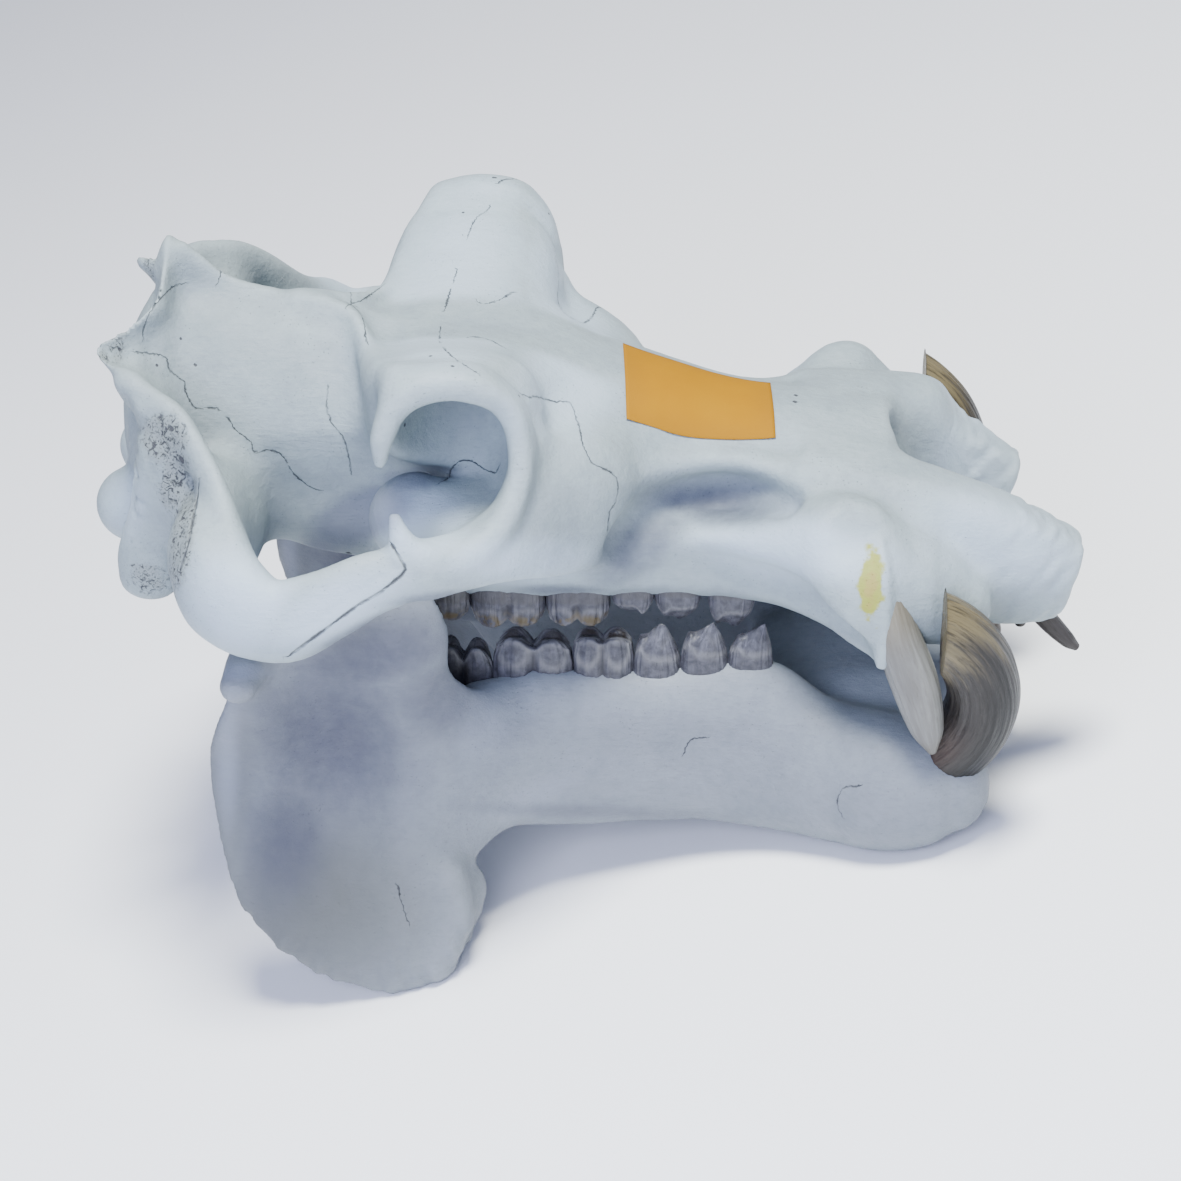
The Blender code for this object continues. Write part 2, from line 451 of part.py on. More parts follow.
def cheek_tooth(row, x0, x1, wide, tip, lobes, tip_x):
    """A tooth as rings stacked from the root to the chewing surface, waisted between its lobes."""
    around = 12 if lobes > 1 else 8
    v = np.linspace(0, 2 * math.pi, around, endpoint=False) + math.pi / around
    mid, half = (x0 + x1) / 2, (x1 - x0) / 2
    cx, cy = signed_power(np.cos(v), 3.2), signed_power(np.sin(v), 3.2)
    waist = 1 - 0.14 * np.exp(-(cx / 0.3) ** 2) * (lobes > 1)
    flat = lobes > 1
    levels = [(0.0, 0.80, 0.0), (0.45, 0.94, 0.0), (0.75, 1.0, 0.15)]
    levels += [(0.97, 0.80, 0.5)] if flat else [(0.93, 0.45, 0.8)]
    rings = []
    for share, size, lean in [(0.0, 0.0, 0.0)] + levels + [(1.0, 0.0, 1.0)]:
        z = row["root"] + share * (tip - row["root"])
        x = mid + (0 if flat else lean * (tip_x - mid))
        rings.append(np.stack([x + size * half * cx, row["y"] + size * wide * cy * waist, z + 0 * cx], -1))
    return close_rings(np.array(rings))


def build_cheek_teeth(paint, parent):
    for jaw, row, teeth in (("upper", UPPER_ROW, UPPER_CHEEK_TEETH), ("lower", LOWER_ROW, LOWER_CHEEK_TEETH)):
        for name, x0, x1, wide, tip, lobes, tip_x in teeth:
            form = cheek_tooth(row, x0, x1, wide, tip, lobes, tip_x)
            for side, made in (("left", form), ("right", mirrored(form))):
                shade(mesh_object(f"{jaw}_{name}_{side}", [made], paint, parent))


def build_bar_teeth(table, paint, parent, around=7, spacing=2.2, cap=0.6):
    for name, rows in table.items():
        form = bar(rows, up=(0, 1, 0), around=around, spacing=spacing, cap=cap)
        left = form if name.startswith("lower") else left_side(form)
        for side, made in (("left", left), ("right", mirrored(form))):
            shade(mesh_object(f"{name}_{side}", [made], paint, parent))


def build_tusks(paint, parent):
    """The lower canines, each worn to a flat face behind."""
    tall, deep = 14.0, 8.0
    form = bar(tusk_rows(), up=(0, 1, 0), around=12, spacing=1.6, cap=0.5)
    ends = (TUSK_WEAR_X - deep, TUSK_WEAR_X)
    wear = [(x, y, z) for x in ends for z in (-4.0, -4.0 + tall) for y in (8, 24)]
    faces = [[0, 1, 3, 2], [4, 6, 7, 5], [0, 4, 5, 1], [2, 3, 7, 6], [0, 2, 6, 4], [1, 5, 7, 3]]
    block = (np.array(wear, float), faces)
    for side, made, tool in (("left", form, block), ("right", mirrored(form), mirrored(block))):
        tusk = mesh_object(f"lower_canine_{side}", [made], paint, parent)
        cut(tusk, cutter(f"wear_face_{side}", [tool], parent))
        shade(tusk)


def cranium_forms():
    halves = [bar(TEMPORAL_LINE), bar(BROW, n=2.6, cap=0.4), bar(ARCH_ROOT), bar(ZYGOMATIC_ARCH, n=2.3)]
    halves += [bar(FOSSA_RIM), bar(UPPER_TOOTH_RIDGE), bar(ROOT_SWELLING), bar(SNOUT_SHOULDER)]
    halves += [bar(SPHENOID), bar(CANINE_SOCKET)]
    halves += [bar(CANINE_FLANGE, up=(0, 1, 0)), bar(CANINE_KNOB, up=(0, 1, 0), cap=0.9)]
    halves += [bar(PREMAXILLA, n=2.9, cap=0.2)]
    halves += [bar(rows, up=(0, 1, 0)) for rows in (PAROCCIPITAL, POSTGLENOID, PTERYGOID)]
    halves += [lump(*form) for form in (ORBIT_FRONT, BROW_FRONT, FOSSA_BACK, OCCIPITAL_CONDYLE)]
    halves += [plate(CHEEK, (-2.6, 12.6), cheek_mid, lambda x, z: 1.5 + 0 * x, False)]
    whole = OCCIPUT + [(-y, z) for y, z in OCCIPUT[-2:0:-1]]
    middle = [sections(BRAINCASE, 1.5, 2.4), sections(SNOUT, 2.4, 3.0), bar(SAGITTAL_CREST), bar(SKULL_BASE),
              plate(whole, (0, 15), occiput_mid, lambda y, z: 0.9 + 0.8 * ease((22 - z) / 8), True)]
    return [left_side(form) for form in with_mirror(halves) + middle]


def build_cranium(paint, parent):
    """The cranium: its forms are fused, hollowed, rimmed and thinned out, then given the tooth sockets."""
    cranium = mesh_object("cranium", cranium_forms(), paint, parent)
    fuse(cranium)
    soften(cranium, 2)
    hollows = {
        "cheek_undercuts": with_mirror([bar(CHEEK_UNDERCUT)]),
        "face_hollows": with_mirror([bar(FACE_HOLLOW)]),
        "maxilla_undercuts": with_mirror([bar(MAXILLA_UNDERCUT)]),
        "eye_sockets": with_mirror([lump(*EYE_SOCKET)]),
        "foramen_magnum": [lump(*FORAMEN_MAGNUM)],
        "nasal_opening": [left_side(bar(NASAL_OPENING, n=2.4, around=24))],
    }
    for name, forms in hollows.items():
        cut(cranium, cutter(name, forms, parent))
    rim = [bar(ORBIT_RIM, up=(0, 1, 0), n=2.8, spacing=0.9), bar(JUGAL_HORN, up=(0, 1, 0))]
    rim += [lump(*floor) for floor in SOCKET_FLOOR]
    rims = cutter("orbit_rims", with_mirror(rim), parent)
    fuse(rims)
    join = cranium.modifiers.new("Rims", "BOOLEAN")
    join.operation = "UNION"
    join.solver = "EXACT"
    join.object = rims
    fuse(cranium)
    soften(cranium, 1)
    thin_out(cranium, CRANIUM_KEPT)
    sockets = [tooth_row_box(UPPER_ROW, UPPER_CHEEK_TEETH, 1.0),
               bar(UPPER_CANINE, up=(0, 1, 0), around=8, spacing=2.5, cap=0.8, grow=0.2)]
    sockets += [bar(rows, up=(0, 1, 0), around=8, spacing=2.0, cap=0.9, grow=0.12)
                for rows in UPPER_INCISORS.values()]
    sockets += [bar(tusk_rows(), up=(0, 1, 0), around=12, spacing=1.6, cap=0.5, grow=0.15)]
    sockets = [left_side(form) for form in with_mirror(sockets)]
    cut(cranium, cutter("upper_sockets", sockets, parent))
    shade(cranium)
    return cranium


def ground_block():
    """A block whose top is the ground, for the flat feet of the jaw."""
    bpy.ops.mesh.primitive_cube_add(size=1)
    block = bpy.context.object
    block.name = "ground"
    block.scale = (1.0, 1.0, 0.1)
    block.location = (0, 0, -0.05)
    block.hide_render = True
    block.display_type = "WIRE"
    return block


def build_mandible(paint, parent):
    """The lower jaw, with small flat feet where its angles and chin stand on the ground."""
    halves = [plate(RAMUS, (-14.5, -7), ramus_mid, ramus_half, False, around=64, rows=8, edge=5.0),
              bar(JAW_BODY, n=2.3), bar(LOWER_TOOTH_RIDGE), bar(JAW_CONDYLE), bar(ANGLE_HOOK, up=(0, 1, 0))]
    mandible = mesh_object("mandible", with_mirror(halves) + [sections(SYMPHYSIS, 3.0, 2.4)], paint, parent)
    fuse(mandible)
    soften(mandible, 2)
    cut(mandible, cutter("jaw_spout", [bar(JAW_SPOUT)], parent))
    fuse(mandible)
    soften(mandible, 1)
    thin_out(mandible, MANDIBLE_KEPT)
    sockets = [tooth_row_box(LOWER_ROW, LOWER_CHEEK_TEETH, 3.0),
               bar(tusk_rows(), up=(0, 1, 0), around=10, spacing=2.6, cap=0.6, grow=0.3)]
    sockets += [bar(rows, up=(0, 1, 0), around=8, spacing=2.5, cap=0.9, grow=0.12)
                for rows in LOWER_INCISORS.values()]
    cut(mandible, cutter("lower_sockets", with_mirror(sockets), parent))
    cut(mandible, ground_block())
    shade(mandible)
    return mandible


def build_label(paint, parent, cranium):
    """A paper label laid over the top of the snout."""
    corner = np.array(LABEL_CORNERS, float)
    u = np.linspace(0, 1, LABEL_CELLS[0] + 1)[:, None, None]
    v = np.linspace(0, 1, LABEL_CELLS[1] + 1)[None, :, None]
    flat = (1 - u) * ((1 - v) * corner[0] + v * corner[3]) + u * ((1 - v) * corner[1] + v * corner[2])
    points = np.concatenate([flat, np.full(flat.shape[:2] + (1,), LABEL_START_Z)], -1).reshape(-1, 3)
    row = LABEL_CELLS[1] + 1
    faces = [[i * row + j, i * row + j + 1, (i + 1) * row + j + 1, (i + 1) * row + j]
             for i in range(LABEL_CELLS[0]) for j in range(LABEL_CELLS[1])]
    mesh = bpy.data.meshes.new("paper_label")
    mesh.from_pydata([tuple(point * CM) for point in points], [], faces)
    mesh.materials.append(paint)
    label = bpy.data.objects.new("paper_label", mesh)
    bpy.context.scene.collection.objects.link(label)
    label.parent = parent
    drop = label.modifiers.new("Drop", "SHRINKWRAP")
    drop.target = cranium
    drop.wrap_method = "PROJECT"
    drop.use_project_z = True
    drop.use_negative_direction = True
    drop.use_positive_direction = False
    drop.wrap_mode = "ABOVE_SURFACE"
    drop.offset = LABEL_CLEARANCE * CM
    body = label.modifiers.new("Paper", "SOLIDIFY")
    body.thickness = LABEL_THICKNESS * CM
    body.offset = 1
    shade(label)


def main():
    clear_scene()
    bone = material("bone", BONE_COLOUR, 0.6)
    frame = rest_frame()
    cranium = build_cranium(bone, frame)
    build_label(material("label_paper", LABEL_COLOUR, 0.7), frame, cranium)
    build_mandible(bone, frame)
    build_cheek_teeth(material("cheek_tooth", CHEEK_TOOTH_COLOUR, 0.35), frame)
    canine = material("upper_canine", UPPER_CANINE_COLOUR, 0.4)
    build_bar_teeth({"upper_canine": UPPER_CANINE}, canine, frame, around=10)
    build_tusks(material("tusk", TUSK_COLOUR, 0.4), frame)
    build_bar_teeth({**UPPER_INCISORS, **LOWER_INCISORS}, material("incisor", INCISOR_COLOUR, 0.4), frame)


main()
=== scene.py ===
"""A dry hippopotamus skull: the cranium resting on its lower jaw, with its teeth, tusks and a bare paper label.

Tables are in centimetres in the skull's own directions: X to the nose, Y to the animal's left, Z up out of the brow.
They describe the left half. Each shape is then pitched nose down onto the ground and written in metres.
"""

import math

import bpy
import numpy as np
import openvdb
from bpy.props import FloatProperty, FloatVectorProperty, PointerProperty
from mathutils import Matrix, Vector
from mathutils.bvhtree import BVHTree


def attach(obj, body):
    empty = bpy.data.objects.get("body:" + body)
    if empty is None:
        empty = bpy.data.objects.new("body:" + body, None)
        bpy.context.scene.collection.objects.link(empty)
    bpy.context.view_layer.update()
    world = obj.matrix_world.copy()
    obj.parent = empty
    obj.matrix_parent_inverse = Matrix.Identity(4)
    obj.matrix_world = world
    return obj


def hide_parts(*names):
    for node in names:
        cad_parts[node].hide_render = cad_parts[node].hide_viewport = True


bl_info = {
    "name": "Hippopotamus skull",
    "version": (1, 0, 0),
    "blender": (4, 5, 0),
    "location": "3D View > Sidebar > Skull",
    "description": "Builds a dry hippopotamus skull from forms in tables, with bone, enamel and ivory materials",
    "category": "Add Mesh",
}

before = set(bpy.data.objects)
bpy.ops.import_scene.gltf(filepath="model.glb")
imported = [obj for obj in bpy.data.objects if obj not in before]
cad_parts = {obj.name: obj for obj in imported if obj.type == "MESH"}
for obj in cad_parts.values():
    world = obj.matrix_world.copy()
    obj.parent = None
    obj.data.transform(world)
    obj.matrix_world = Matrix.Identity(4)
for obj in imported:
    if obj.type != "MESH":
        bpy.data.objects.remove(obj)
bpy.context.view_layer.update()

CM = 0.01
REST_PITCH = 15.2
REST_PLACE = (-2.0, -0.01, 17.64)
BONE_LIMIT = 190000
LATTICE = 32
HOLLOW_STEPS = 14
HOLLOW_DEPTH = 0.35

# The cranium
# Sections square to X: x, y, z of the section's middle, half-width, height above it, depth below it
BRAINCASE = [(-29, 0, 14, 7.4, 9.4, 8), (-25.5, 0, 14.5, 6.8, 8.8, 8), (-21, 0, 15, 6.6, 7.8, 8),
             (-16.5, 0, 15.5, 6.4, 6.6, 8), (-12, 0, 15.3, 6.6, 5.4, 7.5), (-8, 0, 15, 7.5, 4.6, 8)]
SNOUT = [(-11, 0, 15, 7.0, 5.4, 6), (-7, 0, 14.4, 8.0, 5.7, 8), (-3, 0, 13.2, 8.2, 6.3, 8), (1, 0, 12, 7.8, 7.0, 7),
         (5, 0, 11, 7.0, 6.9, 6), (9, 0, 10.6, 6.4, 6.1, 5.6), (13, 0, 10.4, 6.4, 5.6, 5.4),
         (17, 0, 10.2, 7.0, 5.2, 5.4), (20.5, 0, 10, 7.8, 4.9, 5.4)]

# Bars: x, y, z of the path, half-width across it, half-height
SAGITTAL_CREST = [(-28.6, 0, 25.2, .6, 1.7), (-25.3, 0, 22.9, .5, 1.5), (-21.4, 0, 21.7, .5, 1.3),
                  (-18.5, 0, 21.5, .5, 1.1)]
TEMPORAL_LINE = [(-20, 0.3, 22.0, .5, 1.0), (-16.5, 1.2, 21.7, .5, .9), (-14.7, 5, 20.6, .6, .9),
                 (-13.7, 9, 21.4, .6, .9), (-12.7, 13, 22.8, .5, .9), (-11.6, 15.4, 23.8, .5, .7)]
BROW = [(-8.0, 0, 16.2, 8.6, 4.3), (-8.6, 4, 17.1, 7.2, 4.2), (-9.0, 8, 18.6, 5.7, 4.0), (-9.0, 11, 20.1, 5.1, 3.8),
        (-8.7, 13.5, 21.6, 4.3, 3.2), (-8.8, 15.2, 23.1, 3.7, 2.0), (-8.8, 16.4, 23.8, 3.3, 1.1)]
ARCH_ROOT = [(-24.6, 3.5, 9.6, 2.8, 4.6), (-24.8, 8, 9.6, 2.8, 4.8), (-24.9, 11, 10.4, 2.5, 4.6),
             (-24.6, 14.5, 10.8, 2.3, 4.2), (-23.9, 18, 10.6, 2.1, 3.5)]
SPHENOID = [(-24.0, 3.6, 9.6, 2.4, 3.2), (-20.5, 3.6, 9.0, 2.2, 3.2), (-17.5, 3.6, 8.0, 2.0, 3.2),
            (-14.6, 3.8, 7.8, 1.8, 3.0)]
ZYGOMATIC_ARCH = [(2.4, 6.0, 10.8, 3.0, 5.4), (0.0, 9.6, 12.4, 2.8, 4.4), (-3.0, 13.8, 12.6, 2.2, 3.8),
                  (-6, 17.2, 12.3, 1.7, 2.4), (-9, 19.6, 12.4, 1.35, 2.0), (-12.5, 20.8, 12.3, 1.15, 2.2),
                  (-16, 21.4, 10.7, 1.25, 2.6), (-19, 21.4, 9.5, 1.5, 3.0), (-21.6, 20.7, 9.8, 1.9, 3.4),
                  (-23.6, 19.0, 10.3, 2.1, 3.6), (-24.8, 16.2, 11.2, 2.2, 3.8)]
FOSSA_RIM = [(-21.4, 20.3, 12.0, 1.0, 1.3), (-22.6, 17.8, 13.6, .9, 1.3), (-23.6, 15.8, 15.4, .8, 1.3),
             (-25.0, 14.0, 17.2, .8, 1.4), (-26.6, 12.3, 18.8, .8, 1.4), (-28.6, 10.9, 19.6, .8, 1.4),
             (-30.4, 9.6, 20.2, .7, 1.1)]
UPPER_TOOTH_RIDGE = [(-13, 5.9, 6.4, 1.5, 1.8), (-10, 6.8, 6.3, 2.0, 2.4), (-5, 7.5, 6.7, 2.1, 2.7),
                     (0, 7.6, 6.9, 1.95, 2.7), (5, 7.6, 6.9, 1.8, 2.5), (10, 7.7, 6.8, 1.8, 2.4),
                     (14, 8.7, 7.0, 1.9, 2.6), (17.5, 11, 7.4, 2.2, 3.2), (19.3, 12.8, 7.8, 2.0, 3.6)]
ROOT_SWELLING = [(4.6, 7.2, 9.4, 1.7, 1.5), (9, 8.0, 9.9, 1.9, 1.5), (13, 9.3, 10.0, 2.1, 1.9),
                 (16.5, 11.3, 10.4, 2.4, 3.0)]
SNOUT_SHOULDER = [(1.0, 7.9, 12.6, .9, 1.0), (4.5, 6.9, 13.4, 1.0, 1.0), (8.5, 6.1, 13.5, 1.0, 1.0),
                  (12.5, 6.1, 13.2, 1.0, 1.0), (16.5, 7.2, 12.8, 1.0, 1.0)]
MAXILLA_UNDERCUT = [(4.6, 11.3, 6.6, 1.8, 1.7), (8, 11.2, 6.9, 2.1, 2.0), (11.5, 11.8, 6.9, 2.2, 2.1),
                    (14.5, 13.3, 6.4, 2.3, 2.2), (17.0, 14.9, 4.9, 2.2, 2.2), (18.4, 15.8, 3.0, 1.8, 1.8)]
CANINE_FLANGE = [(18.6, 13.3, 8.5, 2.3, 2.0), (19.0, 13.8, 6, 2.2, 1.8), (20.2, 14.6, 4.6, 1.2, 1.1)]
CANINE_KNOB = [(18.2, 12.4, 12.5, 1.9, 1.7), (18.5, 12.8, 9.8, 2.1, 1.7), (18.8, 13.2, 7.5, 2.1, 1.7)]
FLANGE_RIDGE = [(19.8, 14.0, 12.4, .3, .3), (20.2, 15.0, 10.6, .4, .4), (20.4, 15.5, 8.8, .4, .42),
                (20.4, 15.8, 5.8, .42, .44), (20.3, 15.7, 4.0, .44, .44)]
FLANGE_GROOVE = [(20.9, 14.9, 12.0, .2, .25), (21.2, 15.4, 10.6, .26, .32), (21.3, 15.9, 9.0, .3, .36),
                 (21.3, 16.2, 7.0, .3, .34)]
CANINE_SOCKET = [(14, 7.5, 9.6, 3.0, 3.6), (18.5, 9.6, 9.0, 3.6, 3.8), (22.4, 11.4, 7.6, 3.4, 3.6),
                 (25, 11.6, 6.2, 2.6, 2.8)]
PREMAXILLA = [(15, 5.2, 11, 2.8, 3.8), (19, 6.0, 10.6, 3.0, 4.0), (23, 7.0, 9.4, 3.0, 4.6),
              (26.5, 7.4, 8.2, 2.8, 4.7), (29.5, 7.2, 7.1, 2.6, 4.3), (32.0, 6.8, 6.4, 2.25, 3.6),
              (33.1, 6.7, 6.1, 2.1, 3.2)]
SKULL_BASE = [(-30, 0, 6.2, 4.0, 1.6), (-26, 0, 7.0, 3.6, 2.0), (-20, 0, 8.2, 3.0, 2.0), (-12, 0, 8.6, 3.0, 2.4)]
PAROCCIPITAL = [(-28.2, 11.0, 16.5, 1.3, 1.5), (-29.0, 10.4, 12, 1.6, 1.6), (-29.8, 9.8, 7.6, 2.2, 1.7),
                (-30.0, 9.6, 5.6, 2.1, 1.5)]
POSTGLENOID = [(-25.8, 12.6, 9, 1.5, 1.5), (-26.4, 14, 6.8, .8, .9)]
PTERYGOID = [(-13.5, 4.0, 8, 2.6, .9), (-14, 4.2, 5, 2.0, .7), (-14.8, 4.6, 2.6, .9, .6)]
ORBIT_RIM = [(-12.7, 17.0, 19.0, .45, .7), (-12.5, 16.9, 20.8, .8, 1.1), (-11.4, 16.4, 23.2, .9, 1.3),
             (-9.4, 16.0, 24.3, .9, 1.3), (-6.4, 15.8, 24.1, .9, 1.3), (-4.6, 15.4, 22.6, .85, 1.3),
             (-3.8, 15.2, 20.2, .8, 1.4), (-3.8, 15.6, 17.4, .85, 1.6), (-5.0, 17.0, 14.9, .9, 1.6),
             (-7.4, 18.7, 13.4, .9, 1.4), (-9.8, 19.9, 13.6, .9, 1.1)]
JUGAL_HORN = [(-9.8, 20.0, 12.8, 1.7, 1.1), (-10.8, 20.3, 14.4, 1.15, .9), (-11.3, 20.3, 15.8, .68, .6),
              (-11.5, 20.2, 16.6, .5, .45)]
CHEEK_UNDERCUT = [(4.4, 12.2, 5.4, 2.4, 2.4), (1.2, 12.4, 6.0, 2.4, 2.4), (-0.9, 13.0, 6.5, 2.4, 2.4),
                  (-3.1, 15.4, 7.3, 2.5, 2.5), (-5.5, 18.0, 8.5, 2.4, 2.4), (-7.6, 19.8, 9.1, 2.1, 2.1),
                  (-9.8, 21.2, 9.3, 1.7, 1.7)]
FACE_HOLLOW = [(2.8, 10.6, 10.2, 1.3, 1.5), (5.4, 8.9, 11.4, 1.8, 1.4), (9.0, 7.8, 12.1, 2.0, 1.4),
               (11.6, 8.2, 12.2, 1.6, 1.0), (13.8, 9.4, 12.4, 0.8, 0.6)]
NASAL_OPENING = [(37, 0, 11.5, 5.2, 7.5), (31, 0, 11.2, 4.9, 6.0), (26.5, 0, 11.0, 4.2, 4.6),
                 (23.4, 0, 11.0, 3.2, 4.4), (20, 0, 10.4, 2.6, 3.0), (14, 0, 10.2, 2.4, 2.2)]

# Lumps: middle and half-sizes
ORBIT_FRONT = ((-1.4, 8.2, 12.8), (4.0, 5.6, 4.8))
BROW_FRONT = ((-4.8, 11.5, 18.6), (2.0, 4.4, 4.0))
FOSSA_BACK = ((-27.2, 10.6, 14.6), (2.0, 2.4, 4.6))
OCCIPITAL_CONDYLE = ((-31.8, 4.4, 8.6), (2.6, 2.3, 2.7))
EYE_SOCKET = ((-7.9, 14.8, 19.0), (4.4, 6.2, 4.5))
SOCKET_BULLA = ((-11.2, 11.5, 11.9), (3.1, 3.2, 3.1))
SOCKET_FLOOR = ((-7.2, 12.4, 12.0), (3.6, 4.6, 2.6))
FORAMEN_MAGNUM = ((-33, 0, 10.6), (4.6, 2.1, 2.2))

# Outlines of plates: the occiput in Y and Z, the cheek and the ramus of the jaw in X and Z
OCCIPUT = [(0, 27.3), (1.6, 26.0), (3.2, 24.9), (5.2, 23.8), (7.2, 22.6), (9.2, 21.4), (10.8, 20.0), (11.8, 17),
           (12.0, 12.5), (11.4, 8), (9.6, 5.2), (6, 4.2), (0, 4.6)]
CHEEK = [(-9.5, 13.0), (-7, 13.2), (-4.8, 14.2), (-3.4, 16.4), (-3.0, 18.6), (-1.6, 17.6), (0.6, 15.8), (2.2, 14.2),
         (2.6, 12.6), (2.2, 10.6), (1.0, 8.8), (-1, 8.2), (-3.6, 9.0), (-6.5, 10.2), (-9.5, 10.9)]

# The lower jaw
RAMUS = [(-22.6, 4.2), (-23.7, 1), (-25.4, -4.2), (-25.0, -9.8), (-23.4, -14.9), (-20.4, -18.7), (-16.6, -21.1),
         (-12.3, -21.9), (-9.2, -21.3), (-7.2, -18.8), (-6.7, -16), (-7.3, -13.6), (-5.2, -12.2), (-2.5, -10.5),
         (-2.0, -5), (-6.2, -1.8), (-8.8, 1.5), (-8.9, 5.2), (-10.2, 8.6), (-12.4, 9.4), (-14.4, 7.4), (-17, 5.2),
         (-20, 4.6)]
SYMPHYSIS = [(13, 0, -7.6, 8, 3.0, 4.0), (17, 0, -7.2, 9.2, 4.0, 5.0), (21, 0, -6.8, 10.2, 4.2, 5.0),
             (24.0, 0, -6.2, 9.8, 3.8, 4.2), (25.6, 0, -5.8, 8.8, 3.0, 3.0)]
JAW_BODY = [(-8, 11.6, -5.6, 2.4, 4.6), (-5, 10.4, -6.8, 2.5, 6.1), (-1, 9.6, -7.2, 2.4, 6.3),
            (4, 9.2, -7.2, 2.3, 6.2), (9, 9.1, -7.3, 2.4, 5.8), (14, 9.6, -7.8, 2.8, 5.6), (18, 10.9, -7.9, 3.5, 5.2),
            (21.5, 12.3, -7.6, 4.0, 5.0), (24.2, 13.0, -7.3, 3.6, 4.3), (25.4, 13.0, -7.2, 3.0, 3.5)]
LOWER_TOOTH_RIDGE = [(-12.8, 9.7, -5.6, 1.8, 2.6), (-9, 9.3, -5.4, 2.1, 2.7), (-3.5, 9.0, -5.0, 2.1, 2.7),
                     (1.5, 9.0, -4.5, 2.0, 2.7), (5, 9.0, -3.9, 1.9, 2.7), (9, 9.0, -3.0, 1.9, 2.7),
                     (12.6, 9.2, -2.8, 1.8, 2.7), (15.4, 9.4, -5.2, 1.7, 2.6)]
JAW_CONDYLE = [(-22.0, 14.8, 3.6, 1.3, 1.1), (-22.0, 17.5, 3.9, 1.5, 1.4), (-22.3, 20.2, 3.5, 1.3, 1.1)]
ANGLE_HOOK = [(-9.0, 17.4, -13.2, .9, .9), (-8.4, 18.0, -16.3, 1.0, 1.1), (-9.6, 18.7, -19.6, 1.0, 1.0)]
JAW_SPOUT = [(10, 0, -1.8, 5.2, 2.6), (17, 0, -1.6, 4.8, 2.0), (23, 0, -1.4, 4.6, 1.8), (29, 0, -1.2, 4.4, 1.8)]

# Molars: x of the rear and the front, half-width, z of the gum and of the tip, how worn they are, and their
# lobes as x share and height share. Premolars: the same, where the first lobe is the tip and the rest are shoulders
UPPER_CHEEK_TEETH = {
    "molar_3": (-12.4, -8.0, 1.15, 4.0, 2.3, 0.2, [(-.45, 1), (.5, .9)]),
    "molar_2": (-7.8, -2.8, 1.2, 4.1, 1.9, 0.4, [(-.5, 1), (.5, .75)]),
    "molar_1": (-2.6, 1.7, 1.15, 4.2, 2.2, 0.5, [(-.5, 1), (.45, .9)]),
    "premolar_4": (1.9, 4.8, 1.0, 4.6, 3.1, 0.6, [(-.3, 1), (.5, .8)]),
    "premolar_3": (4.9, 8.0, 0.95, 4.9, 2.5, 0.3, [(.15, 1), (-.6, .4)]),
    "premolar_2": (8.6, 11.7, 0.9, 4.8, 2.0, 0.2, [(.2, 1), (-.65, .45)])}
LOWER_CHEEK_TEETH = {
    "molar_3": (-12.4, -6.3, 1.1, -3.0, 0.9, 0.1, [(-.68, .72), (.0, 1), (.66, .95)]),
    "molar_2": (-6.2, -0.8, 1.15, -2.5, 1.7, 0.6, [(-.5, 1), (.5, .92)]),
    "molar_1": (-0.7, 3.4, 1.1, -2.0, 1.9, 1.0, [(-.5, .95), (.5, 1)]),
    "premolar_4": (3.5, 6.7, 1.0, -1.8, 2.8, 0.3, [(.2, 1), (-.75, .3)]),
    "premolar_3": (6.8, 10.0, 0.95, -1.0, 2.9, 0.3, [(.35, 1), (-.7, .35)]),
    "premolar_2": (10.1, 13.1, 0.9, -0.8, 2.9, 0.2, [(.6, 1), (-.6, .2)])}
UPPER_ROW = {"y": 7.9, "root": 6.6}
LOWER_ROW = {"y": 9.0, "root": -5.0}
# Points around a cheek tooth's ring, rings up its wall and rings over its chewing surface
TOOTH_GRID = (132, 28, 22)

# Front teeth as bars, and the lower canine as an arc in X and Z: middle, radius, angles in degrees
UPPER_CANINE = [(20.4, 14.0, 9.0, 1.2, 1.3), (21.2, 14.8, 6.0, 1.5, 1.5), (22.6, 15.5, 2.4, 1.6, 1.5),
                (23.6, 16.1, -.9, 1.1, 1.1), (24.0, 16.4, -2.4, .3, .35)]
TUSK_MIDDLE = (19.4, 0.9)
TUSK_RADIUS = 7.9
TUSK_ANGLES = (-62, 66)
TUSK_SPREAD = (12.2, 17.0)
TUSK_HALF_WIDTHS = (2.6, 2.35)
TUSK_WEAR_X = 24.2
UPPER_INCISORS = {
    "upper_incisor_1": [(29.6, 3.9, 5.2, .7, .7), (30.2, 3.7, 2.6, .65, .65), (30.6, 3.6, .4, .4, .4)],
    "upper_incisor_2": [(30.0, 6.3, 5.0, .75, .8), (32.0, 6.2, 2.4, .75, .75), (33.7, 6.2, .6, .55, .55),
                        (34.3, 6.2, .1, .3, .35)],
}
LOWER_INCISORS = {
    "lower_incisor_1": [(22.5, 2.6, -5.4, 1.1, 1.1), (26.5, 2.5, -4.6, 1.0, 1.0), (29.4, 2.4, -3.6, .7, .7)],
    "lower_incisor_2": [(22.8, 6.0, -6.0, .8, .8), (26.2, 6.0, -5.4, .75, .75), (28.6, 6.0, -4.6, .5, .5)],
}

# The two sides differ: the left premaxilla is shorter and lower than the right one, the left tusk is longer, the root
# of the right upper canine is flatter, round the place given, and the left rear arch rises a little higher
LEFT_TIP_SHORTER = 3.3
LEFT_TIP_FROM = 23.5
LEFT_TIP_LOWER = 0.7
LEFT_TUSK_LONGER = 1.4
RIGHT_ROOT_FLATTER = 1.3
RIGHT_ROOT = (18.4, -14.0, 13.4)
LEFT_REAR_HIGHER = 1.2
LEFT_REAR_FROM = -12.0

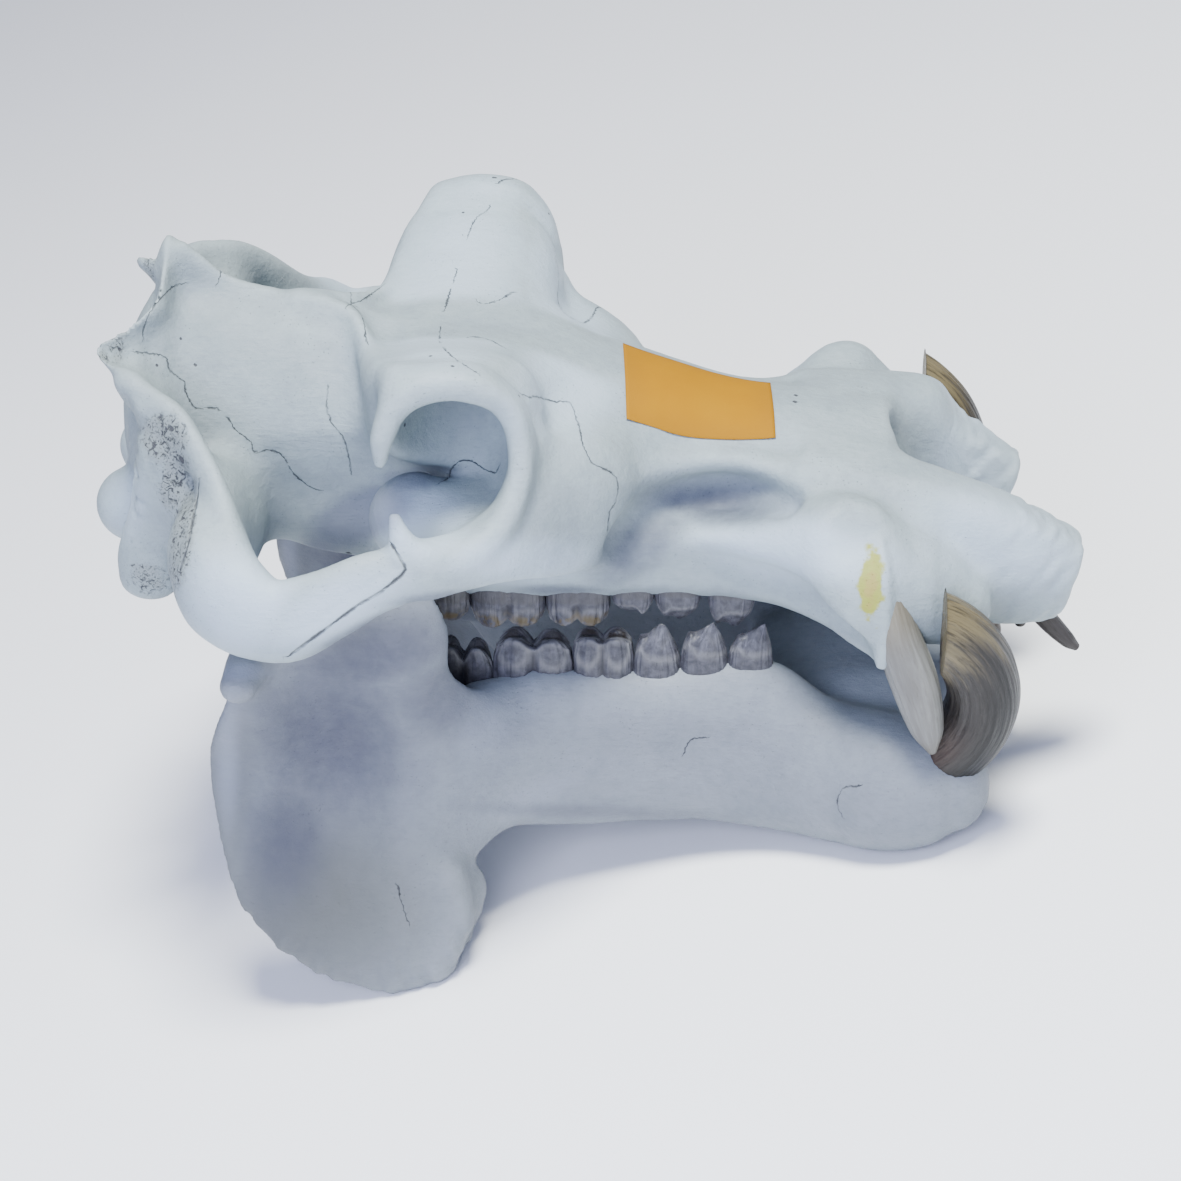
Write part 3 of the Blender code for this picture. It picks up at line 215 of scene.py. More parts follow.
# The label's corners on the snout in X and Y, its gap over the bone, how much more its corners are lifted, its
# thickness, and how many times its height is averaged
LABEL_CORNERS = [(2.15, 2.0), (12.5, 1.7), (12.9, -4.5), (2.75, -6.0)]
LABEL_GAP = 0.07
LABEL_CURL = 0.10
LABEL_THICKNESS = 0.035
LABEL_STEPS = 30

# The camera looks at the skull's own origin from this far off, turned and tilted in degrees. Its focal length and the
# width of its frame are in pixels, its sensor in millimetres, and it sees as far as its reach in metres
CAMERA_DISTANCE = 220.0
CAMERA_TURN = 3.0
CAMERA_TILT = 30.0
CAMERA_FOCAL = 3047.0
FRAME_PIXELS = 1181
SENSOR = 36
CAMERA_REACH = 50

# Cracks and seams of the right side, in pixels of the camera's frame; each is dropped onto the bone
SEAMS = {
    "lacrimal": [(522, 394), (530, 398), (533, 396), (553, 401), (572, 403), (574, 411), (580, 429), (582, 442),
                 (588, 456), (592, 463), (610, 472), (617, 479), (618, 488), (616, 501), (610, 511), (607, 533)],
    "temple_to_crown": [(136, 352), (165, 357), (170, 371), (184, 381), (186, 393), (196, 408), (217, 408),
                        (228, 418), (234, 429), (251, 442), (255, 453), (269, 450), (283, 456), (291, 470),
                        (308, 486), (319, 489)],
    "brow_to_crown": [(328, 387), (327, 409), (332, 423), (343, 437), (349, 456), (351, 472)],
    "socket": [(439, 483), (447, 479), (451, 470), (460, 461), (471, 461), (481, 467), (496, 473), (499, 467)],
    "brow_front": [(441, 328), (440, 342), (453, 357), (476, 372)],
    "brow_top": [(477, 301), (482, 304), (497, 301), (513, 292)],
    "temple_crack": [(347, 306), (366, 298), (383, 285)],
    "nape": [(218, 283), (221, 271)],
    "nape_long": [(183, 284), (176, 285), (162, 297), (151, 311), (144, 327), (143, 338)],
}
GROOVES = {
    "cheek_to_temple": [(392, 545), (398, 554), (403, 563), (406, 570), (397, 579), (378, 594), (360, 604),
                        (338, 620), (290, 655)],
    "mastoid": [(199, 483), (197, 500), (193, 520), (188, 545), (181, 568)],
}
JAW_SEAMS = {
    "front_foramen": [(859, 786), (844, 788), (838, 798), (838, 807), (842, 815)],
    "rear_foramen": [(705, 738), (693, 739), (686, 745), (684, 753)],
    "slit": [(398, 888), (402, 904), (408, 922)],
}
# Soft areas of the right side, mirrored to the left, in the same pixels: middle, half-sizes, turn in degrees, strength
# Dust and painted shade: darker bluish patches in the face hollow, under the cheek arch and on the lower jaw
SHADE_AND_DUST_CRANIUM = [(712, 504, 84, 26, 6, 0.95), (642, 545, 70, 30, -38, 0.85), (555, 520, 44, 64, 10, 0.42),
                 (270, 340, 110, 70, 0, 0.2), (560, 590, 60, 7, 0, 0.8), (435, 598, 50, 7, -8, 0.8),
                 (355, 632, 60, 8, -28, 0.8), (760, 610, 110, 14, 18, 0.5), (640, 592, 70, 10, 0, 0.5)]
SHADE_AND_DUST_JAW = [(330, 738, 100, 104, 0, 0.9), (288, 835, 52, 92, 12, 0.8), (365, 655, 115, 44, -12, 0.9),
             (432, 700, 62, 52, -20, 0.75), (640, 735, 170, 30, 0, 0.3), (600, 812, 160, 9, 2, 0.5)]
GREENISH = [(320, 900, 120, 90, 0, 1.0), (225, 820, 30, 130, 0, 0.7)]
# Painted light: the next two tables make the bone paler on the lower jaw and the cranium where light falls strongly
PAINTED_LIGHT_JAW = [(228, 760, 14, 80, 0, 0.5), (245, 672, 34, 10, 0, 0.6), (480, 720, 40, 50, 0, 0.3),
            (530, 800, 60, 20, -30, 0.3)]
PAINTED_LIGHT = [(240, 600, 60, 60, 30, 1.0), (330, 610, 90, 30, -25, 0.9), (1000, 540, 90, 50, 20, 0.9),
        (790, 545, 120, 36, 12, 1.0), (440, 340, 90, 40, 0, 0.6), (560, 390, 60, 60, 0, 0.8),
        (420, 520, 50, 45, 0, 1.0), (125, 505, 26, 40, 0, 0.6), (520, 560, 90, 26, 0, 0.8)]
# Painted shade: darker bluish bone between the temple wall and the orbit, where shade falls
LAVENDER_SHADE = [(362, 516, 66, 30, -24, 0.9), (412, 480, 44, 16, -6, 0.7), (325, 545, 30, 14, 0, 0.7)]
SPONGY = [(164, 438, 24, 26, 20, 0.95), (174, 480, 15, 34, 10, 0.85), (183, 535, 12, 58, 8, 0.95),
          (150, 578, 30, 20, 20, 0.55), (118, 345, 12, 26, 10, 0.5), (104, 358, 8, 10, 0, 0.6)]
# Small holes: x and y in the same pixels, and the radius in centimetres
HOLES = [(454, 366, .14), (431, 355, .11), (404, 425, .13), (180, 338, .1), (193, 362, .1), (157, 364, .1),
         (795, 402, .15), (181, 459, .3), (173, 431, .2), (350, 553, .2), (520, 397, .1)]
# How sharply the soft areas end, and how far from the skull's middle they start: they are full at twice that
AREA_FALL = 1.3
AREA_MIDDLE = 2.0

# The stage in metres: the floor's size and gap under the skull, the sky's colour and strength, and the lights'
# names, places, sizes, powers in watts and colours. A height of None is the setting's
FLOOR_SIZE = 60
FLOOR_GAP = 0.0005
SKY_COLOUR = (0.58, 0.64, 1.0, 1)
SKY_STRENGTH = 0.50
LIGHT_AIM = (0, 0, 0.25)
LIGHTS = [("key", (0.75, -0.7, None), 1.15, 325, (0.97, 1.0, 0.97)),
          ("fill", (-0.3, -1.9, 1.2), 1.4, 65, (0.66, 0.72, 1.0))]

# Tints of the materials that aren't settings. Ivory has three: light, dark and stripe
BONE_EDGE = (0.47, 0.51, 0.49)
BONE_FIBRE = (0.21, 0.225, 0.235)
BONE_GREEN = (0.140, 0.150, 0.135)
BONE_SPONGE = (0.23, 0.235, 0.215)
STAIN_MIDDLE = (0.38, 0.27, 0.08)
CRACK = (0.05, 0.046, 0.05)
ENAMEL_FOLD = (0.014, 0.013, 0.016)
ENAMEL_GUM = (0.05, 0.047, 0.047)
ENAMEL_WORN = (0.028, 0.023, 0.02)
ENAMEL_OCHRE = (0.085, 0.062, 0.022)
ENAMEL_RIM_AND_HIGHLIGHT = (0.17, 0.168, 0.17)
TUSK_OUTER = (0.004, 0.004, 0.004)
TUSK_INNER = (0.09, 0.06, 0.046)
TUSK_STRIPE = (0.010, 0.008, 0.006)
CANINE_ROOT = (0.17, 0.14, 0.08)
CANINE_TIP = (0.09, 0.078, 0.06)
LABEL_FADED = (0.33, 0.15, 0.0)
LABEL_FIBRE = (0.36, 0.18, 0.005)
LABEL_DUST = (0.24, 0.11, 0.01)
TUSK_IVORY = ((0.034, 0.030, 0.026), (0.016, 0.013, 0.011), (0.007, 0.006, 0.005))
CANINE_IVORY = ((0.20, 0.20, 0.185), (0.125, 0.122, 0.112), (0.065, 0.056, 0.045))
INCISOR_IVORY = ((0.06, 0.053, 0.048), (0.03, 0.025, 0.021), (0.012, 0.01, 0.008))


def ease(t):
    """Smooth step: 3t^2 - 2t^3 between 0 and 1."""
    t = np.clip(t, 0, 1)
    return t * t * (3 - 2 * t)


def bump(a, b, c=0.0):
    """A bell: e to the minus sum of squares."""
    return np.exp(-a * a - b * b - c * c)


def noise(p, size, seed):
    """A smooth random field: random numbers on a repeating lattice, blended between its eight nearest corners."""
    lattice = np.random.default_rng(seed).uniform(-1, 1, (LATTICE, LATTICE, LATTICE))
    q = p / size
    low = np.floor(q).astype(int)
    f = ease(q - low)
    total = np.zeros(len(p))
    for corner in np.ndindex(2, 2, 2):
        weight = np.prod(np.where(np.array(corner) > 0, f, 1 - f), axis=-1)
        k = (low + corner) % LATTICE
        total += weight * lattice[k[:, 0], k[:, 1], k[:, 2]]
    return total


def smooth_rows(rows, count, closed=False):
    """A cubic curve through the rows whose slope at a row joins its two neighbours, read at evenly spaced places."""
    p = np.asarray(rows, float)
    k = len(p)
    if closed:
        p = np.concatenate([p[-3:], p, p[:3]])
    width = min(3, p.shape[1]) if not closed else 2
    step = np.maximum(np.linalg.norm(np.diff(p[:, :width], axis=0), axis=1), 1e-6)
    knot = np.concatenate([[0], np.cumsum(step)])
    slope = np.empty_like(p)
    slope[1:-1] = (p[2:] - p[:-2]) / (knot[2:] - knot[:-2])[:, None]
    slope[0] = (p[1] - p[0]) / step[0]
    slope[-1] = (p[-1] - p[-2]) / step[-1]
    at = np.linspace(0, knot[-1], count)
    if closed:
        at = knot[3] + (knot[3 + k] - knot[3]) * np.arange(count) / count
    i = np.clip(np.searchsorted(knot, at, side="right") - 1, 0, len(p) - 2)
    h = step[i][:, None]
    t = ((at - knot[i]) / step[i])[:, None]
    return ((2 * t**3 - 3 * t**2 + 1) * p[i] + (t**3 - 2 * t**2 + t) * h * slope[i]
            + (3 * t**2 - 2 * t**3) * p[i + 1] + (t**3 - t**2) * h * slope[i + 1])


def signed_power(value, n):
    """A cosine or sine as a superellipse of power n has it: its size to the power 2/n, with its own sign."""
    return np.sign(value) * np.abs(value) ** (2 / n)


def close_rings(rings):
    """Faces over a stack of rings whose first and last rings are single points."""
    rows, around, _ = rings.shape
    points = np.concatenate([rings[0, :1], rings[1:-1].reshape(-1, 3), rings[-1, :1]])
    i = np.arange(rows - 3)[:, None] * around
    j = np.arange(around)[None, :]
    k = (j + 1) % around
    quads = np.stack([1 + i + j, 1 + i + k, 1 + i + around + k, 1 + i + around + j], -1).reshape(-1, 4)
    last = 1 + (rows - 3) * around
    head = np.stack([0 * j[0], 1 + k[0], 1 + j[0]], -1)
    tail = np.stack([0 * j[0] + len(points) - 1, last + j[0], last + k[0]], -1)
    return points, quads, np.concatenate([head, tail])


def dome(ends):
    """Angles of a quarter circle that rounds off the end of a bar."""
    return np.linspace(math.pi / 2, 0, ends + 1)[:-1]


def bar_rings(stations, up=(0, 0, 1), n=2.0, around=28, spacing=0.5, cap=1.0, ends=4):
    """Superellipses of the stations' half-sizes, carried square to a smooth path through them, with domed ends."""
    rows = np.asarray(stations, float)
    length = np.linalg.norm(np.diff(rows[:, :3], axis=0), axis=1).sum()
    along = int(max(8, length / spacing))
    s = smooth_rows(rows, along)
    path = s[:, :3]
    half = np.maximum(s[:, 3:5], 0.02)
    run = np.gradient(path, axis=0)
    run /= np.linalg.norm(run, axis=1)[:, None]
    side = np.cross(np.asarray(up, float), run)
    side /= np.linalg.norm(side, axis=1)[:, None]
    rise = np.cross(run, side)
    lift = dome(ends)
    index = np.concatenate([[0] * ends, np.arange(along), [along - 1] * ends])
    shrink = np.concatenate([np.cos(lift), np.ones(along), np.cos(lift[::-1])])
    shift = np.concatenate([-np.sin(lift) * cap * half[0].min(), np.zeros(along),
                            np.sin(lift[::-1]) * cap * half[-1].min()])
    v = np.linspace(0, 2 * math.pi, around, endpoint=False)
    across = (shrink * half[index, 0])[:, None] * signed_power(np.cos(v), n)
    high = (shrink * half[index, 1])[:, None] * signed_power(np.sin(v), n)
    middle = path[index] + shift[:, None] * run[index]
    rings = middle[:, None] + across[..., None] * side[index][:, None] + high[..., None] * rise[index][:, None]
    return rings, middle


def bar(stations, **shape):
    """The closed surface over a bar's rings."""
    return close_rings(bar_rings(stations, **shape)[0])


def sections(stations, n_up, n_down, around=40, spacing=0.5, cap=0.5, ends=4):
    """Superellipses square to X, each with its own half-width, height above and depth below its middle."""
    rows = np.asarray(stations, float)
    along = int(max(8, abs(rows[-1, 0] - rows[0, 0]) / spacing))
    s = smooth_rows(rows, along)
    lift = dome(ends)
    index = np.concatenate([[0] * ends, np.arange(along), [along - 1] * ends])
    shrink = np.concatenate([np.cos(lift), np.ones(along), np.cos(lift[::-1])])
    shift = np.concatenate([-np.sin(lift) * s[0, 3:].min() * cap, np.zeros(along),
                            np.sin(lift[::-1]) * s[-1, 3:].min() * cap])
    v = np.linspace(0, 2 * math.pi, around, endpoint=False)
    n = np.where(np.sin(v) > 0, n_up, n_down)
    q = s[index]
    height = np.where(np.sin(v) > 0, q[:, 4, None], q[:, 5, None])
    y = q[:, 1, None] + shrink[:, None] * q[:, 3, None] * signed_power(np.cos(v), n)
    z = q[:, 2, None] + shrink[:, None] * height * signed_power(np.sin(v), n)
    x = np.broadcast_to((q[:, 0] + shift)[:, None], y.shape)
    return close_rings(np.stack([x, y, z], -1)[:, ::-1])


def plate(outline, middle, mid, half, across_x, around=150, rows=18, edge=2.6):
    """A plate: rings shrink from its outline to its middle and back, at mid(u, v) plus and minus half(u, v) times
    the root of 1 - r^edge, where r goes from 0 in the middle to 1 at the outline."""
    rim = smooth_rows(outline, around, closed=True)
    r = np.sin(np.linspace(0, math.pi / 2, rows))
    r = np.concatenate([r, r[::-1][1:]])
    side = np.concatenate([np.ones(rows), -np.ones(rows - 1)])
    uv = np.asarray(middle) + r[:, None, None] * (rim[None] - np.asarray(middle))
    u, v = uv[..., 0], uv[..., 1]
    w = mid(u, v) + side[:, None] * half(u, v) * np.sqrt(np.clip(1 - r**edge, 0, 1))[:, None]
    return close_rings(np.stack([w, u, v] if across_x else [u, w, v], -1))


def lump(middle, radii, around=28, rows=16):
    """An ellipsoid."""
    u = np.linspace(0, math.pi, rows)[:, None]
    v = np.linspace(0, 2 * math.pi, around, endpoint=False)
    ball = np.stack([np.sin(u) * np.cos(v), np.sin(u) * np.sin(v), np.cos(u) + 0 * v], -1)
    return close_rings(ball * np.asarray(radii, float) + np.asarray(middle, float))


class Volume:
    """Signed distances on a grid, in which forms are joined and hollowed. Only the left half is kept until mirror().

    BAND is the reach of the distances in cells, which has to be more than the widest blend."""

    BAND = 8

    def __init__(self, low, high, cell):
        self.cell = cell
        self.low = np.floor(np.asarray(low) / cell).astype(int)
        self.high = np.ceil(np.asarray(high) / cell).astype(int)
        self.reach = cell * self.BAND
        self.field = np.full(self.high - self.low, self.reach, np.float32)

    def distance(self, form):
        """The form's distance on its own part of the grid, and where that part is."""
        points, quads, triangles = form
        pad = self.BAND + 2
        low = np.maximum(np.floor(points.min(0) / self.cell).astype(int) - pad, self.low)
        high = np.minimum(np.ceil(points.max(0) / self.cell).astype(int) + pad, self.high)
        grid = openvdb.FloatGrid.createLevelSetFromPolygons(
            points.astype(np.float32), triangles=triangles.astype(np.uint32), quads=quads.astype(np.uint32),
            transform=openvdb.createLinearTransform(voxelSize=self.cell), halfWidth=self.BAND)
        out = np.empty(high - low, np.float32)
        grid.copyToArray(out, ijk=tuple(int(v) for v in low))
        a, b = low - self.low, high - self.low
        return out, (slice(a[0], b[0]), slice(a[1], b[1]), slice(a[2], b[2]))

    def add(self, form, blend=1.0):
        """The lesser of the two distances, lowered where they are within blend of each other."""
        d, where = self.distance(form)
        f = self.field[where]
        h = np.maximum(blend - np.abs(f - d), 0) / blend
        self.field[where] = np.minimum(f, d) - h * h * blend / 4

    def cut(self, form, blend=0.6):
        """The greater of the distance and the form's distance turned inside out, raised where they are close."""
        d, where = self.distance(form)
        f = self.field[where]
        h = np.maximum(blend - np.abs(f + d), 0) / blend
        self.field[where] = np.maximum(f, -d) + h * h * blend / 4

    def mirror(self):
        """Joins the left half to its mirror image."""
        half = self.field[:, -self.low[1]:]
        self.field = np.concatenate([half[:, :0:-1], half], axis=1)
        self.low[1] = -(half.shape[1] - 1)

    def soften(self, times):
        """Averages each cell with its two neighbours along each axis in turn."""
        for _ in range(times):
            for axis in range(3):
                f = self.field
                self.field = (np.roll(f, 1, axis) + np.roll(f, -1, axis) + 2 * f) / 4

    def hollowness(self, points, times):
        """How far the surface is inside its own softened copy: above 0 in hollows, below 0 on edges."""
        copy = Volume.__new__(Volume)
        copy.field = self.field
        copy.soften(times)
        q = points / self.cell - self.low
        i = np.clip(np.floor(q).astype(int), 0, np.array(copy.field.shape) - 2)
        f = np.clip(q - i, 0, 1)
        total = np.zeros(len(points))
        for corner in np.ndindex(2, 2, 2):
            weight = np.prod(np.where(np.array(corner) > 0, f, 1 - f), axis=-1)
            k = i + corner
            total += weight * copy.field[k[:, 0], k[:, 1], k[:, 2]]
        return -total

    def surface(self):
        """The surface where the distance is 0, as points, quads and triangles."""
        grid = openvdb.FloatGrid(self.reach)
        grid.copyFromArray(self.field, ijk=tuple(int(v) for v in self.low))
        grid.transform = openvdb.createLinearTransform(voxelSize=self.cell)
        points, triangles, quads = grid.convertToPolygons(isovalue=0.0, adaptivity=0.0)
        return points.astype(float), quads, triangles


def occiput_mid(y, z):
    """X of the occiput: flat, with a wing swept back on each side of the crest."""
    a = np.abs(y)
    return -28.9 - 3.8 * bump((a - 7.6) / 2.3, np.where(z < 22, (z - 22) / 2.2, (z - 22) / 3.5))


def cheek_mid(x, z):
    """Y of the cheek plate: it runs out and back from the snout and leans in towards the brow."""
    return 8.9 + 0.98 * (2.4 - x) - 0.22 * np.clip(z - 12, 0, 9)


def ramus_mid(x, z):
    """Y of the ramus: it spreads backwards and down, hollow where the chewing muscle lay."""
    back = ease((-x - 1) / 12)
    low = ease((-z - 3) / 15)
    return (9.6 + 6.4 * back + 3.4 * low * back - 2.0 * bump((x + 16.5) / 5.5, (z + 8) / 6.5)
            - 0.9 * bump((x + 15) / 4.5, (z + 1) / 5) + 2.0 * ease((-x - 18) / 5) * ease((z + 6) / 8))


def ramus_half(x, z):
    """Half the thickness of the ramus: fuller in front and at the angle, thinner in its hollow and at its top."""
    return (1.15 + 1.3 * ease((x + 10) / 8) - 0.3 * bump((x + 17) / 5, (z + 8) / 6)
            + 0.35 * ease((-z - 12) / 7) - 0.3 * ease((z - 3) / 4))


def left_side(p):
    """Moves the left premaxilla back and down, lifts the left rear and flattens the root of the right upper canine."""
    q = p.copy()
    share = ease((p[:, 0] - LEFT_TIP_FROM) / 7) * ease((p[:, 1] - 0.5) / 3)
    q[:, 0] -= LEFT_TIP_SHORTER * share
    q[:, 2] -= LEFT_TIP_LOWER * share
    root = bump((p[:, 0] - RIGHT_ROOT[0]) / 2.3, (p[:, 1] - RIGHT_ROOT[1]) / 2.4, (p[:, 2] - RIGHT_ROOT[2]) / 2.2)
    q[:, 1] += RIGHT_ROOT_FLATTER * root
    q[:, 2] -= 0.6 * RIGHT_ROOT_FLATTER * root
    rear = ease((LEFT_REAR_FROM - p[:, 0]) / 8) * ease((p[:, 1] - 7) / 6)
    q[:, 2] += LEFT_REAR_HIGHER * rear * ease((p[:, 2] - 7) / 5)
    return q


def rest_matrix():
    """The skull's own centimetres to metres on the ground: a pitch about Y, then a shift."""
    turn = Matrix.Rotation(math.radians(REST_PITCH), 4, "Y")
    return Matrix.Translation([value * CM for value in REST_PLACE]) @ turn @ Matrix.Scale(CM, 4)


def to_rest(points):
    """Points of the skull's own centimetres in metres on the ground."""
    m = np.array(rest_matrix())
    return points @ m[:3, :3].T + m[:3, 3]


def vertex_normals(points, quads, triangles):
    """Each corner's sum of the crossed diagonals or edges of its faces, made of length 1."""
    total = np.zeros_like(points)
    for faces in (quads, triangles):
        if len(faces):
            a, b = points[faces[:, 2]] - points[faces[:, 0]], points[faces[:, -1]] - points[faces[:, 1]]
            n = np.cross(a, b)
            for corner in range(faces.shape[1]):
                for axis in range(3):
                    total[:, axis] += np.bincount(faces[:, corner], n[:, axis], len(points))
    return total / np.maximum(np.linalg.norm(total, axis=1), 1e-12)[:, None]


def face_list(quads, triangles):
    """All faces as lists of their corners."""
    return quads.tolist() + triangles.tolist()


def thin_out(points, quads, triangles, limit):
    """Collapses the shortest edges until the surface has no more triangles than the limit."""
    mesh = bpy.data.meshes.new("thin")
    mesh.from_pydata(points, [], face_list(quads, triangles))
    mesh.update()
    mesh.calc_loop_triangles()
    holder = bpy.data.objects.new("thin", mesh)
    bpy.context.scene.collection.objects.link(holder)
    if len(mesh.loop_triangles) > limit:
        step = holder.modifiers.new("Thin", "DECIMATE")
        step.ratio = limit / len(mesh.loop_triangles)
    final = holder.evaluated_get(bpy.context.evaluated_depsgraph_get()).to_mesh()
    final.calc_loop_triangles()
    co = np.empty(len(final.vertices) * 3)
    final.vertices.foreach_get("co", co)
    tri = np.empty(len(final.loop_triangles) * 3, np.int32)
    final.loop_triangles.foreach_get("vertices", tri)
    bpy.data.objects.remove(holder)
    bpy.data.meshes.remove(mesh)
    return co.reshape(-1, 3), tri.reshape(-1, 3)


def make_piece(name, points, faces, paint, stands_for, slot, **attributes):
    """One object from points in the skull's own centimetres; its attributes keep values for the material."""
    mesh = bpy.data.meshes.new(name)
    mesh.from_pydata(to_rest(points), [], faces)
    mesh.update()
    for key, value in attributes.items():
        kind, part = ("FLOAT_VECTOR", "vector") if value.ndim == 2 else ("FLOAT", "value")
        layer = mesh.attributes.new(key, kind, "POINT")
        layer.data.foreach_set(part, np.ascontiguousarray(value, np.float32).ravel())
    mesh.shade_smooth()
    mesh.materials.append(paint)
    piece = bpy.data.objects.new(name, mesh)
    bpy.context.scene.collection.objects.link(piece)
    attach(piece, "root")
    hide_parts(stands_for)
    return piece


def camera_axes():
    """The camera's right, up and viewing directions in the skull's own directions."""
    turn, tilt = math.radians(CAMERA_TURN), math.radians(CAMERA_TILT)
    right = np.array([math.cos(turn), math.sin(turn), 0])
    ahead = np.array([-math.sin(turn) * math.cos(tilt), math.cos(turn) * math.cos(tilt), -math.sin(tilt)])
    return right, np.cross(right, ahead), ahead


def seen_at(p):
    """The pixels of the camera's frame at which points are seen, the left side's points by their mirror images."""
    right, up, ahead = camera_axes()
    q = p * np.where(p[:, 1:2] > 0, np.array([1, -1, 1]), 1)
    scale = CAMERA_FOCAL / (CAMERA_DISTANCE + q @ ahead)
    return FRAME_PIXELS / 2 + scale * (q @ right), FRAME_PIXELS / 2 - scale * (q @ up)


def areas(p, table):
    """The strongest of soft ellipses drawn in the camera's pixels, fading out towards the middle of the skull."""
    px, py = seen_at(p)
    most = np.zeros(len(p))
    for x, y, wide, high, turn, strength in table:
        c, s = math.cos(math.radians(turn)), math.sin(math.radians(turn))
        a, b = (px - x) * c + (py - y) * s, (py - y) * c - (px - x) * s
        most = np.maximum(most, strength * np.exp(-((a / wide) ** 2 + (b / high) ** 2) ** AREA_FALL))
    return most * ease((np.abs(p[:, 1]) - AREA_MIDDLE) / AREA_MIDDLE)


def drop_pixel(px, py, tree):
    """The place on the bone under a pixel of the camera's frame, in the skull's own centimetres, or None."""
    right, up, ahead = camera_axes()
    ray = ahead + right * (px - FRAME_PIXELS / 2) / CAMERA_FOCAL + up * (FRAME_PIXELS / 2 - py) / CAMERA_FOCAL
    return tree.ray_cast(Vector(-CAMERA_DISTANCE * ahead), Vector(ray))[0]


def drop_line(pixels, tree):
    """A smooth line through the pixels, laid on the bone."""
    found = [drop_pixel(px, py, tree) for px, py in smooth_rows(pixels, 4 * len(pixels))]
    return np.array([tuple(place) for place in found if place is not None])


def mirrored_line(line, tree):
    """The same line on the other side, moved to the nearest place on the bone."""
    return np.array([tuple(tree.find_nearest(Vector((x, -y, z)))[0]) for x, y, z in line])


def line_distance(points, normals, lines, reach=1.0):
    """Signed distance to the nearest line along the surface: the sign is the side of the line the point is on."""
    signed = np.full(len(points), reach)
    least = np.full(len(points), reach)
    for line in lines:
        near = np.flatnonzero(np.all((points > line.min(0) - reach) & (points < line.max(0) + reach), axis=1))
        for a, b in zip(line[:-1], line[1:]):
            run = b - a
            if np.linalg.norm(run) > 2.5 or not np.any(run):
                continue
            p = points[near] - a
            t = np.clip(p @ run / (run @ run), 0, 1)
            gap = p - t[:, None] * run
            d = np.linalg.norm(gap, axis=1)
            side = np.sign(np.einsum("ij,ij->i", np.cross(run, normals[near]), gap))
            closer = d < least[near]
            least[near[closer]] = d[closer]
            signed[near[closer]] = (d * np.where(side == 0, 1, side))[closer]
    return signed, least


NUMBER, COLOUR, VECTOR = "NodeSocketFloat", "NodeSocketColor", "NodeSocketVector"


class Wiring:
    """Adds nodes to one shader tree. Its methods take numbers, colours or other nodes' outputs, and give an output."""

    def __init__(self, tree):
        self.tree = tree

    def node(self, kind, **settings):
        """A new node of this kind, with these settings."""
        made = self.tree.nodes.new(kind)
        for key, value in settings.items():
            setattr(made, key, value)
        return made

    def feed(self, socket, value):
        """Links another node's output into the socket, or sets the socket's own value."""
        if isinstance(value, bpy.types.NodeSocket):
            self.tree.links.new(value, socket)
        elif isinstance(value, (tuple, list)) and len(value) == 3 and socket.type == "RGBA":
            socket.default_value = (*value, 1)
        else:
            socket.default_value = value

    def read(self, name, vector=False):
        """What the mesh's attribute of this name holds."""
        return self.node("ShaderNodeAttribute", attribute_name=name).outputs["Vector" if vector else "Fac"]

    def math(self, operation, a, b=0.0, clamp=False):
        """One operation on two numbers."""
        made = self.node("ShaderNodeMath", operation=operation, use_clamp=clamp)
        self.feed(made.inputs[0], a)
        self.feed(made.inputs[1], b)
        return made.outputs[0]

    def plus(self, a, b):
        return self.math("ADD", a, b)

    def minus(self, a, b):
        return self.math("SUBTRACT", a, b)

    def times(self, a, b, clamp=False):
        return self.math("MULTIPLY", a, b, clamp)

    def most(self, a, b):
        return self.math("MAXIMUM", a, b)

    def span(self, value, low, high, to_low=0.0, to_high=1.0):
        """Maps the value from one range to another, smoothly and within its ends."""
        made = self.node("ShaderNodeMapRange", interpolation_type="SMOOTHSTEP")
        numbers = {"Value": value, "From Min": low, "From Max": high, "To Min": to_low, "To Max": to_high}
        for key, number in numbers.items():
            self.feed(made.inputs[key], number)
        return made.outputs["Result"]

    def mix(self, share, a, b, blend="MIX"):
        """Colour a with this share of colour b."""
        made = self.node("ShaderNodeMix", data_type="RGBA", blend_type=blend)
        self.feed(made.inputs["Factor"], share)
        self.feed(made.inputs[6], a)
        self.feed(made.inputs[7], b)
        return made.outputs[2]

    def cloud(self, vector, scale, detail=3.0, rough=0.55, distortion=0.0):
        """Blender's smooth noise, mostly between 0.3 and 0.7."""
        made = self.node("ShaderNodeTexNoise")
        self.feed(made.inputs["Vector"], vector)
        numbers = {"Scale": scale, "Detail": detail, "Roughness": rough, "Distortion": distortion}
        for key, number in numbers.items():
            made.inputs[key].default_value = number
        return made.outputs["Fac"]

    def stretched(self, vector, factors):
        """The vector with its parts multiplied, which draws a texture out along the axes with small factors."""
        made = self.node("ShaderNodeVectorMath", operation="MULTIPLY")
        self.feed(made.inputs[0], vector)
        made.inputs[1].default_value = factors
        return made.outputs[0]

    def use(self, name, maker, **values):
        """The outputs of a node group, which is made the first time that it is used."""
        made = self.node("ShaderNodeGroup", node_tree=bpy.data.node_groups.get(name) or maker(name))
        for key, value in values.items():
            self.feed(made.inputs[key], value)
        return made.outputs

    def raise_surface(self, shader, height, distance):
        """Tilts the shader's normal as if the surface rose by the height times the distance in metres."""
        made = self.node("ShaderNodeBump")
        made.inputs["Distance"].default_value = distance
        self.feed(made.inputs["Height"], height)
        self.tree.links.new(made.outputs["Normal"], shader.inputs["Normal"])


